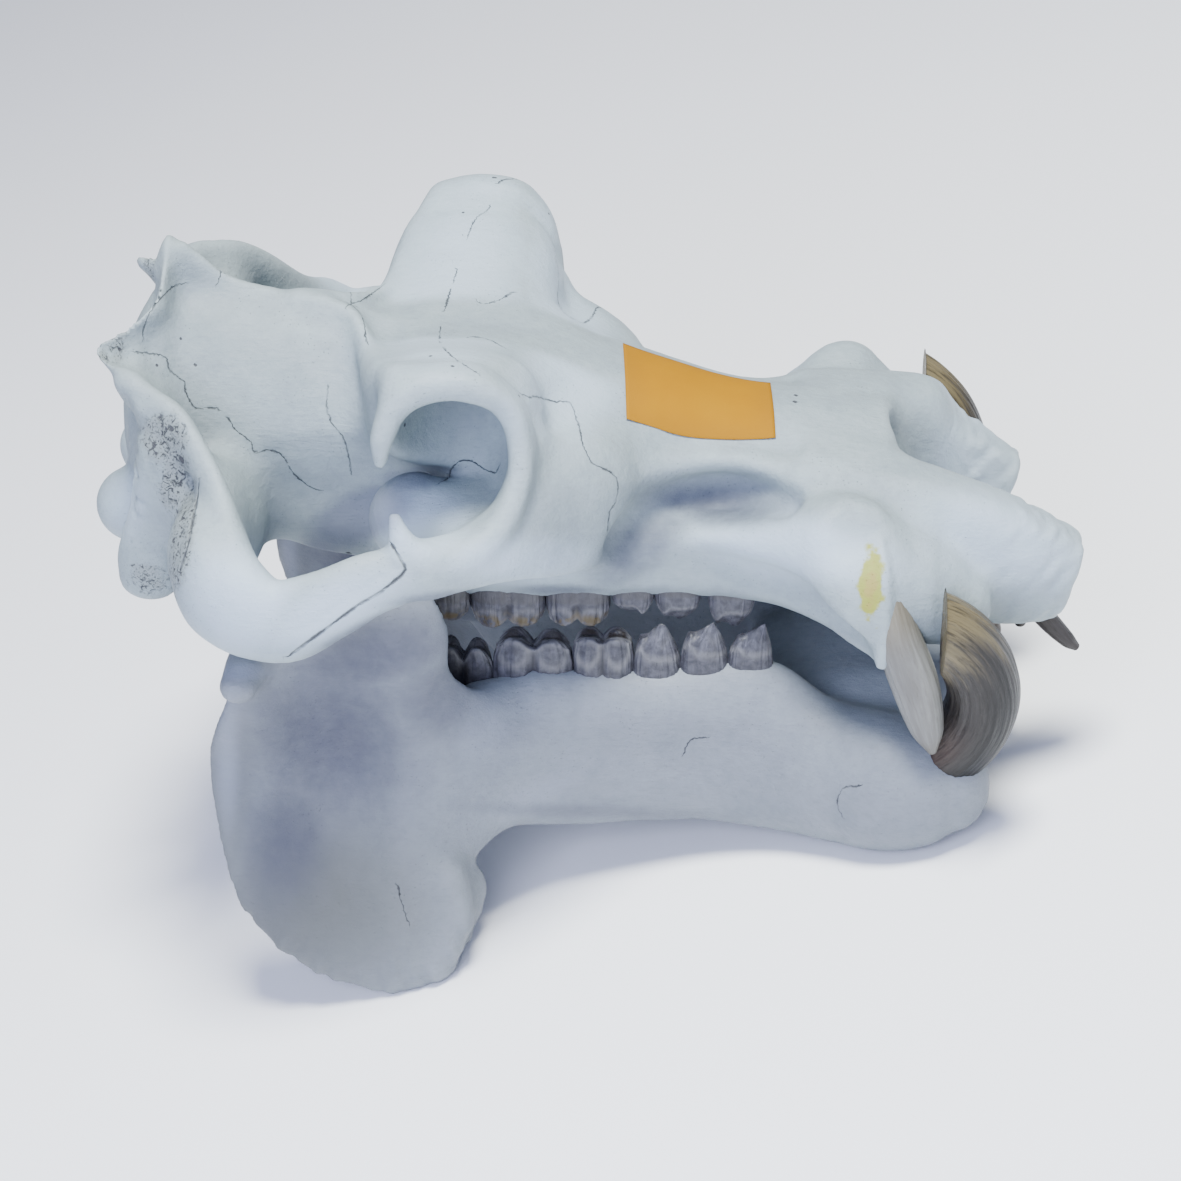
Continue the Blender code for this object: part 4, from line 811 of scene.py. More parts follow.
def new_group(name, inputs, outputs):
    """A shader node group. An input is a kind of socket, or the default of a number; an output is a kind."""
    group = bpy.data.node_groups.new(name, "ShaderNodeTree")
    for label, given in inputs.items():
        kind = given if isinstance(given, str) else NUMBER
        socket = group.interface.new_socket(name=label, in_out="INPUT", socket_type=kind)
        if kind is NUMBER:
            socket.default_value = given
    for label, kind in outputs.items():
        group.interface.new_socket(name=label, in_out="OUTPUT", socket_type=kind)
    return Wiring(group), group.nodes.new("NodeGroupInput").outputs, group.nodes.new("NodeGroupOutput").inputs


def seam_group(name):
    """A thin wandering line where a signed distance crosses zero, kept to where the plain distance is small."""
    w, given, out = new_group(name, {"Place": VECTOR, "Side": 1.0, "Near": 1.0, "Width": 0.05, "Wander": 0.12},
                              {"Mask": NUMBER})
    shake = w.minus(w.cloud(given["Place"], 3.4, 5.0, 0.75), 0.5)
    side = w.plus(given["Side"], w.times(shake, given["Wander"]))
    wide = w.times(given["Width"], w.span(w.cloud(given["Place"], 0.9, 2.0), 0.35, 0.65, 0.55, 1.5))
    line = w.span(w.math("ABSOLUTE", side), wide, 0.0)
    close = w.span(given["Near"], 0.45, 0.25)
    broken = w.span(w.cloud(given["Place"], 0.8, 3.0), 0.34, 0.56, 0.35, 1.0)
    w.feed(out["Mask"], w.times(w.times(line, close), broken))
    return w.tree


def mottle_group(name):
    """Two sizes of soft blotches between a light and a dark colour."""
    w, given, out = new_group(name, {"Place": VECTOR, "Light": COLOUR, "Dark": COLOUR, "Amount": 1.0},
                              {"Color": COLOUR})
    broad = w.span(w.cloud(given["Place"], 0.16, 4.0, 0.6, 0.4), 0.3, 0.72)
    fine = w.span(w.cloud(given["Place"], 1.4, 5.0, 0.7), 0.35, 0.75)
    share = w.plus(w.times(broad, 0.6), w.times(fine, 0.4))
    share = w.times(share, given["Amount"], clamp=True)
    w.feed(out["Color"], w.mix(share, given["Light"], given["Dark"]))
    return w.tree


def pore_group(name):
    """Small scattered pits: where the distance to the nearest of random points is small, on patches only."""
    w, given, out = new_group(name, {"Place": VECTOR, "Scale": 4.0, "Spread": 0.5}, {"Mask": NUMBER})
    cells = w.node("ShaderNodeTexVoronoi")
    w.feed(cells.inputs["Vector"], given["Place"])
    w.feed(cells.inputs["Scale"], given["Scale"])
    dots = w.span(cells.outputs["Distance"], 0.16, 0.04)
    patches = w.span(w.plus(w.cloud(given["Place"], 0.3, 2.0), given["Spread"]), 0.95, 1.15)
    w.feed(out["Mask"], w.times(dots, patches))
    return w.tree


def sponge_group(name):
    """Spongy bone: ragged holes where a strained noise is low, between thin struts."""
    w, given, out = new_group(name, {"Place": VECTOR, "Amount": 0.0}, {"Mask": NUMBER, "Tone": NUMBER})
    shake = w.minus(w.cloud(given["Place"], 1.8, 3.0), 0.5)
    amount = w.plus(given["Amount"], w.times(shake, 0.7))
    amount = w.times(w.span(amount, 0.25, 0.6), w.span(given["Amount"], 0.03, 0.2))
    holes = w.span(w.cloud(given["Place"], 2.3, 4.0, 0.62, 0.9), 0.44, 0.37)
    fine = w.span(w.cloud(given["Place"], 6.0, 3.0, 0.6), 0.42, 0.34, 0.0, 0.6)
    w.feed(out["Mask"], w.times(w.most(holes, fine), amount))
    w.feed(out["Tone"], amount)
    return w.tree


def spot_group(name):
    """A round spot: 1 nearer to its middle than its radius, 0 farther off, with a ragged edge."""
    w, given, out = new_group(name, {"Place": VECTOR, "Middle": VECTOR, "Radius": 0.1}, {"Mask": NUMBER})
    far = w.node("ShaderNodeVectorMath", operation="DISTANCE")
    w.feed(far.inputs[0], given["Place"])
    w.feed(far.inputs[1], given["Middle"])
    ragged = w.times(w.cloud(given["Place"], 4.0, 2.0), 1.1)
    share = w.math("DIVIDE", far.outputs["Value"], w.times(given["Radius"], ragged))
    w.feed(out["Mask"], w.span(share, 2.1, 1.5))
    return w.tree


def start_material(name, roughness):
    """A new material, its wiring and its shader, with this roughness."""
    made = bpy.data.materials.new(name)
    made.use_nodes = True
    shader = made.node_tree.nodes["Principled BSDF"]
    shader.inputs["Roughness"].default_value = roughness
    return made, Wiring(made.node_tree), shader


def bone_material(name, colours, tone_over, holes):
    """Dry bone: pale, softly blotched, lavender-grey dust and painted shade in hollows, fine fibres, dark seams, small
    holes.
    """
    made, w, shader = start_material(name, 0.55)
    place = w.read("place", vector=True)
    hollow = w.read("hollow")
    tone = w.use("Mottle", mottle_group, Place=place, Light=tuple(colours.bone_light),
                 Dark=tuple(colours.bone_dark), Amount=0.85)
    # Dust and painted shade: the hollows of the bone turn a darker, bluer grey
    colour = w.mix(w.span(hollow, 0.0, 1.0, 0.0, 0.55), tone["Color"], tuple(colours.bone_hollow_dust_and_shade))
    colour = w.mix(w.span(hollow, -0.15, -0.9, 0.0, 0.35), colour, BONE_EDGE)
    fibre = w.cloud(w.stretched(place, (0.22, 1.3, 1.3)), 3.4, 4.0, 0.6)
    colour = w.mix(w.span(fibre, 0.52, 0.7, 0.0, 0.22), colour, BONE_FIBRE)
    colour = w.mix(w.read("grey"), colour, BONE_GREEN)
    # Painted light: the pale areas mix the bone towards its palest colour
    colour = w.mix(w.span(w.read("pale"), 0.0, 1.0), colour, tuple(colours.bone_painted_light))
    ragged = w.times(w.minus(w.cloud(place, 0.9, 5.0, 0.6), 0.5), 0.5)
    # Dust and painted shade: these soft patches darken the bone towards a bluish grey
    dusty = w.plus(w.read("dusty"), w.times(ragged, w.read("dusty")))
    colour = w.mix(w.span(dusty, 0.0, 1.15), colour, tuple(colours.bone_dust_and_shade))
    # Painted shade: the lavender areas mix the bone towards the colour of the shaded hollows
    lavender = w.plus(w.read("lavender"), w.times(ragged, 0.6))
    colour = w.mix(w.span(lavender, 0.2, 0.75, 0.0, 0.75), colour, tuple(colours.bone_hollow_dust_and_shade))
    sponge = w.use("Sponge", sponge_group, Place=place, Amount=w.read("spongy"))
    colour = w.mix(w.times(sponge["Tone"], 0.55), colour, BONE_SPONGE)
    stain = w.plus(w.read("stain"), w.minus(w.cloud(place, 1.1, 4.0), 0.5))
    colour = w.mix(w.span(stain, 0.30, 0.52, 0.0, 0.85), colour, tuple(colours.bone_stain))
    colour = w.mix(w.span(stain, 0.62, 0.8, 0.0, 0.7), colour, STAIN_MIDDLE)
    pores = w.use("Pores", pore_group, Place=place, Scale=3.6, Spread=0.52)["Mask"]
    seam = w.use("Seam line", seam_group, Place=place, Side=w.read("seam_side"),
                 Near=w.read("seam_near"), Width=0.065, Wander=0.5)["Mask"]
    groove = w.use("Seam line", seam_group, Place=place, Side=w.read("groove_side"),
                   Near=w.read("groove_near"), Width=0.13, Wander=0.22)["Mask"]
    dark = w.most(w.times(seam, 0.8), w.times(groove, 0.95))
    for middle, radius in holes:
        hole = w.use("Spot", spot_group, Place=place, Middle=middle, Radius=radius)["Mask"]
        dark = w.most(dark, w.times(hole, 0.9))
    dark = w.most(dark, w.times(w.read("pit"), 0.4))
    dark = w.most(dark, w.times(sponge["Mask"], 0.92))
    dark = w.most(dark, w.times(pores, 0.35))
    colour = w.mix(dark, colour, CRACK)
    # Multiplied by the bone's tone; the lower jaw's darker, bluer tone is painted shade
    colour = w.mix(1.0, colour, tuple(tone_over), "MULTIPLY")
    w.feed(shader.inputs["Base Color"], colour)
    shader.inputs["Specular IOR Level"].default_value = 0.3
    grain = w.cloud(place, 11.0, 5.0, 0.7)
    rough = w.span(w.cloud(place, 0.5, 3.0), 0.3, 0.7, 0.48, 0.66)
    w.feed(shader.inputs["Roughness"], w.plus(rough, w.times(dark, 0.2)))
    dents = w.times(w.cloud(place, 1.5, 4.0, 0.6), 0.9)
    height = w.plus(w.plus(w.times(grain, 0.22), dents), w.times(fibre, 0.4))
    lip = w.times(w.span(w.read("groove_side"), 0.0, 0.15), w.span(w.read("groove_near"), 0.95, 0.1))
    height = w.plus(height, w.times(lip, 1.6))
    height = w.minus(height, w.times(dark, 1.6))
    w.raise_surface(shader, height, 0.0009)
    return made


def enamel_material(name, colours):
    """Cheek-tooth enamel: grey lavender with upright flutes, whitish at worn edges, with painted highlights on its
    rims, brown where it is worn through and ochre at the tips of the upper molars."""
    made, w, shader = start_material(name, 0.3)
    shader.inputs["Specular IOR Level"].default_value = 0.35
    fibre = w.read("fibre", vector=True)
    place = w.read("place", vector=True)
    crown = w.read("crown")
    streak = w.cloud(fibre, 1.6, 4.0, 0.65, 0.3)
    blotch = w.cloud(place, 1.9, 4.0, 0.62, 0.4)
    colour = w.mix(w.span(blotch, 0.3, 0.72), tuple(colours.enamel_dark), tuple(colours.enamel_light))
    colour = w.mix(w.span(streak, 0.5, 0.7, 0.0, 0.4), colour, tuple(colours.enamel_dark))
    colour = w.mix(w.read("fold"), colour, ENAMEL_FOLD)
    colour = w.mix(w.span(crown, 0.12, 0.0, 0.0, 0.6), colour, ENAMEL_GUM)
    colour = w.mix(w.times(w.read("worn"), w.span(blotch, 0.3, 0.55)), colour, ENAMEL_WORN)
    ochre = w.times(w.read("ochre"), w.span(w.cloud(place, 1.3, 3.0), 0.44, 0.56))
    colour = w.mix(w.times(ochre, 0.75), colour, ENAMEL_OCHRE)
    # Worn enamel loops and painted highlights: whitish on the rims and the tops of the walls
    pale = w.times(w.read("rim"), w.span(streak, 0.3, 0.52, 0.35, 1.0))
    colour = w.mix(w.times(pale, 0.6), colour, ENAMEL_RIM_AND_HIGHLIGHT)
    w.feed(shader.inputs["Base Color"], colour)
    w.feed(shader.inputs["Roughness"], w.span(streak, 0.3, 0.7, 0.26, 0.5))
    height = w.plus(w.times(streak, 1.0), w.times(w.cloud(place, 7.0, 4.0), 0.3))
    w.raise_surface(shader, height, 0.0008)
    return made


def ivory_material(name, light, dark, stripe, contrast, roughness, bump_depth):
    """Ivory: fibres that run along the tooth, in long streaks between two colours, with fine dark stripes."""
    made, w, shader = start_material(name, roughness)
    shader.inputs["Specular IOR Level"].default_value = 0.25
    fibre = w.read("fibre", vector=True)
    place = w.read("place", vector=True)
    streak = w.cloud(fibre, 1.1, 5.0, 0.7, 0.2)
    fine = w.cloud(fibre, 5.5, 4.0, 0.7)
    colour = w.mix(w.span(streak, 0.32, 0.68), light, dark)
    colour = w.mix(w.span(fine, 0.56, 0.70, 0.0, contrast), colour, stripe)
    colour = w.mix(w.span(w.cloud(place, 0.8, 3.0), 0.5, 0.75, 0.0, 0.35), colour, dark)
    w.feed(shader.inputs["Base Color"], colour)
    w.feed(shader.inputs["Roughness"], w.span(fine, 0.3, 0.7, roughness - 0.08, roughness + 0.14))
    height = w.plus(w.times(streak, 0.8), w.times(fine, 0.5))
    w.raise_surface(shader, height, bump_depth)
    return made, w, shader, colour


def tusk_material(colours):
    """The lower canine: tan and striped at its worn tip, brown in the middle, nearly black on the outer lower curve."""
    made, w, shader, colour = ivory_material("tusk_ivory", *TUSK_IVORY, 0.75, 0.36, 0.0012)
    along = w.read("along")
    outer = w.read("outer")
    fibre = w.read("fibre", vector=True)
    shake = w.times(w.minus(w.cloud(fibre, 1.6, 3.0), 0.5), 0.5)
    tip = w.span(w.plus(along, shake), 0.68, 0.9)
    colour = w.mix(w.times(tip, 0.85), colour, tuple(colours.tusk_tip))
    low = w.times(w.span(w.plus(along, shake), 0.8, 0.55), w.span(w.plus(outer, shake), -0.35, 0.5))
    colour = w.mix(w.times(low, 0.85), colour, TUSK_OUTER)
    inner = w.times(w.span(along, 0.5, 0.2), w.span(outer, 0.1, -0.6))
    colour = w.mix(w.times(inner, 0.6), colour, TUSK_INNER)
    stripes = w.span(w.cloud(fibre, 4.2, 5.0, 0.75), 0.5, 0.62, 0.0, 0.65)
    colour = w.mix(stripes, colour, TUSK_STRIPE)
    w.feed(shader.inputs["Base Color"], colour)
    return made


def canine_material():
    """The upper canine: pale ivory with soft grey-brown streaks, yellower where it leaves the bone."""
    made, w, shader, colour = ivory_material("upper_canine_ivory", *CANINE_IVORY, 0.35, 0.34, 0.0006)
    along = w.read("along")
    colour = w.mix(w.span(along, 0.45, 0.15, 0.0, 0.5), colour, CANINE_ROOT)
    colour = w.mix(w.span(along, 0.86, 1.0, 0.0, 0.5), colour, CANINE_TIP)
    w.feed(shader.inputs["Base Color"], colour)
    return made


def incisor_material():
    """The incisors: dark ivory with fine stripes."""
    return ivory_material("incisor_ivory", *INCISOR_IVORY, 0.6, 0.36, 0.0007)[0]


def label_material(colours):
    """Orange paper: a faint fibre pattern, slightly faded patches and a dust-darkened edge."""
    made, w, shader = start_material("label_paper", 0.7)
    place = w.read("place", vector=True)
    fibre = w.cloud(place, 14.0, 6.0, 0.75)
    colour = w.mix(w.span(w.cloud(place, 0.25, 3.0), 0.35, 0.7, 0.0, 0.5), tuple(colours.label), LABEL_FADED)
    colour = w.mix(w.span(fibre, 0.45, 0.8, 0.0, 0.16), colour, LABEL_FIBRE)
    colour = w.mix(w.span(w.read("edge"), 0.55, 1.0, 0.0, 0.35), colour, LABEL_DUST)
    w.feed(shader.inputs["Base Color"], colour)
    shader.inputs["Specular IOR Level"].default_value = 0.1
    w.feed(shader.inputs["Roughness"], w.span(fibre, 0.3, 0.7, 0.62, 0.8))
    w.raise_surface(shader, fibre, 0.0002)
    return made


def floor_material(colour):
    """Pale matt floor with very faint clouds."""
    made, w, shader = start_material("studio_floor", 0.8)
    place = w.node("ShaderNodeTexCoord").outputs["Object"]
    soft = w.span(w.cloud(place, 1.5, 2.0), 0.3, 0.7)
    w.feed(shader.inputs["Base Color"], w.mix(soft, tuple(colour), tuple(0.985 * value for value in colour)))
    return made


def cranium_volume(cell):
    """The cranium's forms joined one after another, then hollowed, then the rims and the socket floor laid over."""
    v = Volume((-37, -2, -2), (36, 25, 30), cell)
    v.add(sections(BRAINCASE, 1.5, 2.4), 1.0)
    v.add(sections(SNOUT, 2.4, 3.0, cap=0.3), 2.0)
    v.add(bar(SAGITTAL_CREST), 1.2)
    v.add(bar(TEMPORAL_LINE), 1.2)
    whole = OCCIPUT + [(-y, z) for y, z in OCCIPUT[-2:0:-1]]
    v.add(plate(whole, (0, 15), occiput_mid, lambda y, z: 0.7 + 0.9 * ease((22 - z) / 8), True), 1.4)
    v.add(bar(BROW, n=2.6, cap=0.4), 2.2)
    v.add(lump(*ORBIT_FRONT), 2.4)
    v.add(lump(*BROW_FRONT), 2.0)
    v.add(plate(CHEEK, (-2.6, 12.6), cheek_mid, lambda x, z: 1.5 + 0 * x, False), 1.8)
    v.add(bar(ARCH_ROOT), 2.0)
    v.add(bar(ZYGOMATIC_ARCH, n=2.3), 1.6)
    v.add(bar(FOSSA_RIM), 1.4)
    v.add(lump(*FOSSA_BACK), 1.8)
    v.add(bar(UPPER_TOOTH_RIDGE), 1.6)
    v.add(bar(ROOT_SWELLING), 1.4)
    v.add(bar(SNOUT_SHOULDER), 1.4)
    v.add(bar(CANINE_FLANGE, up=(0, 1, 0)), 2.0)
    v.add(bar(CANINE_SOCKET), 2.4)
    v.add(bar(CANINE_KNOB, up=(0, 1, 0), cap=0.9), 2.4)
    v.add(bar(PREMAXILLA, n=2.9, cap=0.2), 1.6)
    v.add(lump(*OCCIPITAL_CONDYLE), 0.9)
    v.add(bar(SKULL_BASE), 1.4)
    v.add(bar(SPHENOID), 1.4)
    v.add(bar(PAROCCIPITAL, up=(0, 1, 0)), 1.0)
    v.add(bar(POSTGLENOID, up=(0, 1, 0)), 1.0)
    v.add(bar(PTERYGOID, up=(0, 1, 0)), 1.0)
    v.cut(bar(CHEEK_UNDERCUT), 0.5)
    v.cut(bar(FACE_HOLLOW), 1.8)
    v.cut(bar(MAXILLA_UNDERCUT), 0.7)
    v.add(bar(FLANGE_RIDGE, up=(0, 1, 0)), 0.5)
    v.cut(bar(FLANGE_GROOVE, up=(0, 1, 0)), 0.5)
    v.cut(lump(*EYE_SOCKET), 1.4)
    v.add(lump(*SOCKET_BULLA), 0.5)
    v.add(lump(*SOCKET_FLOOR), 1.4)
    v.add(bar(ORBIT_RIM, up=(0, 1, 0), n=2.8), 0.9)
    v.add(bar(JUGAL_HORN, up=(0, 1, 0)), 0.7)
    v.cut(bar(NASAL_OPENING, n=2.4), 0.8)
    v.cut(lump(*FORAMEN_MAGNUM), 0.8)
    v.mirror()
    v.soften(1)
    return v


def mandible_volume(cell):
    """The lower jaw's forms joined one after another and hollowed between its halves."""
    v = Volume((-27, -2, -24), (32, 25, 12), cell)
    v.add(plate(RAMUS, (-14.5, -7), ramus_mid, ramus_half, False, edge=5.0), 1.0)
    v.add(bar(JAW_BODY, n=2.3), 1.6)
    v.add(bar(LOWER_TOOTH_RIDGE), 1.2)
    v.add(sections(SYMPHYSIS, 3.0, 2.4), 1.6)
    v.cut(bar(JAW_SPOUT), 1.6)
    v.add(bar(JAW_CONDYLE), 1.0)
    v.add(bar(ANGLE_HOOK, up=(0, 1, 0)), 2.4)
    v.mirror()
    v.soften(1)
    return v


def mastoid_pits(p):
    """Where the bone behind the ear is spongy: a bell times the high parts of a small noise."""
    a = np.abs(p[:, 1])
    ear = bump((p[:, 0] + 29.6) / 2.2, (a - 10.8) / 1.8, (p[:, 2] - 14.5) / 2.6)
    return ear * np.clip(noise(p, 0.62, 3) * 1.6 - 0.15, 0, 1)


def cranium_relief(p):
    """Height of the fine relief: slow waves everywhere, pits on the mastoid, rough crest and premaxilla tips."""
    relief = 0.05 * noise(p, 3.6, 1) + 0.02 * noise(p, 1.3, 2) - 0.4 * mastoid_pits(p)
    slanted = np.column_stack([0.3 * (p[:, 0] + p[:, 2]), p[:, 1], p[:, 0] - p[:, 2]])
    tips = ease((p[:, 0] - 26.5) / 4.5)
    relief += tips * (0.14 * noise(slanted, 0.9, 4) + 0.06 * noise(p, 0.6, 5))
    crest = ease((-p[:, 0] - 27.5) / 2) * ease((p[:, 2] - 17) / 3)
    return relief + 0.2 * crest * noise(p, 1.3, 6)


def mandible_relief(p):
    """Slow waves, and ridges that fan down to the lower border of the angle."""
    a = np.abs(p[:, 1])
    relief = 0.06 * noise(p, 3.4, 11) + 0.025 * noise(p, 1.2, 12)
    fan = np.arctan2(p[:, 2] + 6, p[:, 0] + 14)
    far = np.hypot(p[:, 0] + 14, p[:, 2] + 6)
    border = ease((far - 10.5) / 3.5) * ease((-p[:, 2] - 8) / 4) * ease((-p[:, 0] - 5) / 3) * ease((a - 10) / 3)
    ridges = noise(np.column_stack([fan * 14, 0.25 * p[:, 2], 0.4 * a]), 0.62, 13)
    return relief + 0.2 * border * ridges


def no_pits(p):
    """No pits anywhere."""
    return np.zeros(len(p))


def build_bone(name, volume, relief, pits, marks, colours, tone_over, stands_for, warp, flat_ground):
    """Polygonises the volume, adds the relief along its normals, thins it and stores what its material reads."""
    points, quads, triangles = volume.surface()
    points = points + relief(points)[:, None] * vertex_normals(points, quads, triangles)
    points, tris = thin_out(points, quads, triangles, BONE_LIMIT)
    normals = vertex_normals(points, np.zeros((0, 4), int), tris)
    if np.einsum("ij,ij->i", points - points.mean(0), normals).mean() < 0:
        tris, normals = tris[:, ::-1], -normals
    final = warp(points)
    tree = BVHTree.FromPolygons(final.tolist(), tris.tolist())
    seams, grooves, spots, dusty, lavender, spongy, pale, greenish = marks
    values = {}
    for key, lines_from in (("seam", seams), ("groove", grooves)):
        lines = [line for line in (drop_line(pixels, tree) for pixels in lines_from.values()) if len(line) > 2]
        lines += [mirrored_line(line, tree) for line in lines]
        values[key + "_side"], values[key + "_near"] = line_distance(final, normals, lines)
    dropped = [(drop_pixel(px, py, tree), radius) for px, py, radius in spots]
    holes = []
    for middle, radius in dropped:
        if middle is not None:
            for y in (middle.y, -middle.y):
                face = tree.find_nearest(Vector((middle.x, y, middle.z)))[2]
                holes.append((tuple(points[tris[face]].mean(0)), radius))
    hollow = volume.hollowness(points, HOLLOW_STEPS) / HOLLOW_DEPTH
    grounded = final.copy()
    if flat_ground:
        m = np.array(rest_matrix())
        height = grounded @ m[2, :3] + m[2, 3]
        grounded -= np.minimum(height, 0)[:, None] * (m[2, :3] / (m[2, :3] @ m[2, :3]))
    stain = bump((points[:, 0] - 19.3) / 0.9, (points[:, 1] + 14.6) / 2.4, (points[:, 2] - 9.6) / 2.5)
    grey = np.maximum(0.22 * ease((-points[:, 0] - 14) / 12) * ease((points[:, 2] - 12) / 8), areas(points, greenish))
    paint = bone_material(name, colours, tone_over, holes)
    return make_piece(name, grounded, tris.tolist(), paint, stands_for, "bone", place=points, hollow=hollow,
                      stain=stain, grey=grey, pit=pits(points), dusty=areas(points, dusty), lavender=areas(points, lavender),
                      spongy=areas(points, spongy), pale=areas(points, pale), **values)


def lobe_bells(x, lobes, width):
    """The highest of the lobes' bells at shares of the tooth's half-length: e to the minus |distance/width|^2.6."""
    high = 0 * x
    for place, tall in lobes:
        high = np.maximum(high, tall * np.exp(-np.abs((x - place) / width) ** 2.6))
    return high


def cheek_tooth(spec, row, seed, pointed, ochre):
    """Rings up the root and crown, then inwards over the chewing surface.

    A ring is a superellipse, waisted between the lobes and rippled by flutes. The crown's height over a place is
    low + relief * bells(x) * (1 - 0.2 e^-(y/0.35)^2) on a molar, so that its wall rises and falls with its lobes.
    On a premolar it is low + relief * (1 - r^1.25 + shoulders), where r is 1 at the wall and 0 at the tip."""
    x0, x1, wide, gum, tip, wear, lobes = spec
    up = math.copysign(1, tip - gum)
    tall = abs(tip - gum)
    half, mid = (x1 - x0) / 2, (x1 + x0) / 2
    around, walls, tops = TOOTH_GRID
    rng = np.random.default_rng(seed)
    v = np.linspace(0, 2 * math.pi, around, endpoint=False)
    cx, cy = signed_power(np.cos(v), 3.0), signed_power(np.sin(v), 2.6)
    width = (0.62 if len(lobes) == 2 else 0.44) / 1.6 + 0.1 * wear
    gaps = [(a[0] + b[0]) / 2 for a, b in zip(lobes[:-1], lobes[1:])]
    fold = 0 * v
    if not pointed:
        fold = sum(np.exp(-((cx - gap) / 0.12) ** 2) for gap in gaps)
        fold = fold + 0.22 * sum(np.exp(-((cx - place - away * width) / 0.05) ** 2)
                                 for place, _ in lobes for away in (-.45, .45))
    flutes = sum(rng.uniform(0.004, 0.014) * np.sin(k * v + rng.uniform(0, 6.3)) for k in (5, 9, 13, 17, 22, 29))
    relief = (0.5 if pointed else 0.42 - 0.22 * wear) * tall
    low = tip - up * relief
    apex = lobes[0][0] if pointed else 0.0

    def crown_z(r):
        """Height over the ring shrunk by r."""
        x, y = cx * r + apex * (1 - r), cy * r
        if pointed:
            rise = 1 - r**1.25 + sum(share * np.exp(-((x - at) / 0.24) ** 2) * r for at, share in lobes[1:])
        else:
            rise = lobe_bells(x, lobes, width) * (1 - 0.2 * np.exp(-(y / 0.35) ** 2))
            rise -= 0.12 * lobe_bells(x, lobes, 0.2) * np.exp(-(y / 0.4) ** 2)
        rough = 0.035 * np.sin(9 * x + seed) * np.sin(7 * y + 2 * seed) + 0.02 * np.sin(21 * x + 5 * y)
        return low + up * relief * (rise + rough * (1 - 0.5 * r) - 0.14 * r**9)

    t = np.linspace(0, 1, walls)[:, None]
    r = np.cos(np.linspace(0, math.pi / 2, tops + 1)[1:])[:, None]
    rim = crown_z(np.ones((1, 1)))
    wall_z = row["root"] + t * (rim - row["root"])
    level = np.clip((wall_z - gum) * up / tall, 0, 1)
    taper = 0.90 + 0.14 * ease(t / 0.5) - 0.08 * ease((t - 0.75) / 0.25) ** 2
    shape = taper * (1 + flutes * (0.3 + 0.7 * ease(level * 3)))
    deep = 0.34 * fold * (0.35 + 0.65 * ease(level * 2.5))
    wall_x, wall_y = half * cx * shape, wide * cy * shape * (1 - deep)
    top_x = wall_x[-1] * r + half * apex * (1 - r)
    top_y = wall_y[-1] * (r**1.1 if pointed else r)
    rings = np.stack([np.concatenate([0 * wall_x[:1], wall_x, top_x]), np.concatenate([0 * wall_y[:1], wall_y, top_y]),
                      np.concatenate([wall_z[:1], wall_z, crown_z(r)])], -1)
    points, quads, triangles = close_rings(rings + np.array([mid, row["y"], 0]))
    share_x, share_y = cx * r + apex * (1 - r), cy * r
    nearest = np.min([np.hypot((share_x - place) / (width * 1.05), share_y / 0.8) for place, _ in lobes], axis=0)
    hanging = np.min([np.hypot((cx - place) / (width * 0.85), (1 - t) / 0.3) for place, _ in lobes], axis=0)
    # Worn enamel loops and painted highlights along the crown's rims and the tops of its walls
    loops = wear * bump((nearest - 0.85) / 0.16, 0) + 0.7 * ease((r - 0.86) / 0.12)
    hung = (0.25 + 0.75 * wear) * bump((hanging - 1) / 0.16, 0) * (0 if pointed else 1) + 0.6 * ease((t - 0.93) / 0.07)
    inside = (0.35 + 0.65 * wear) * ease((0.8 - nearest) / 0.2) * (0 if pointed else 1)
    groove = ease(1.2 * fold) * ease((level - 0.02) / 0.2) * ease((1.05 - t) / 0.1)
    values = {"crown": (level, level[-1:] + 0 * top_x), "rim": (hung + 0 * level, loops + 0 * top_x),
              "worn": (0 * level, inside + 0 * top_x), "fold": (0.75 * groove, 0.5 * ease(1.2 * fold) * r**2),
              "ochre": (ochre * ease((level - 0.35) / 0.3), ochre + 0 * top_x)}
    flat = lambda grid: np.concatenate([grid[0, :1], grid[1:-1].ravel(), grid[-1, :1]])
    attributes = {key: flat(np.concatenate([0 * wall[:1], wall, top])) for key, (wall, top) in values.items()}
    fibre = rings * np.array([1.2, 1.2, 0.22])
    fibre[1:walls + 1] = np.stack([2.2 * half * np.cos(v) + 0 * level, 2.2 * wide * np.sin(v) + 0 * level,
                                   0.22 * wall_z], -1)
    fibre += 3.7 * seed
    attributes["fibre"] = np.concatenate([fibre[0, :1], fibre[1:-1].reshape(-1, 3), fibre[-1, :1]])
    return points, quads, triangles, attributes


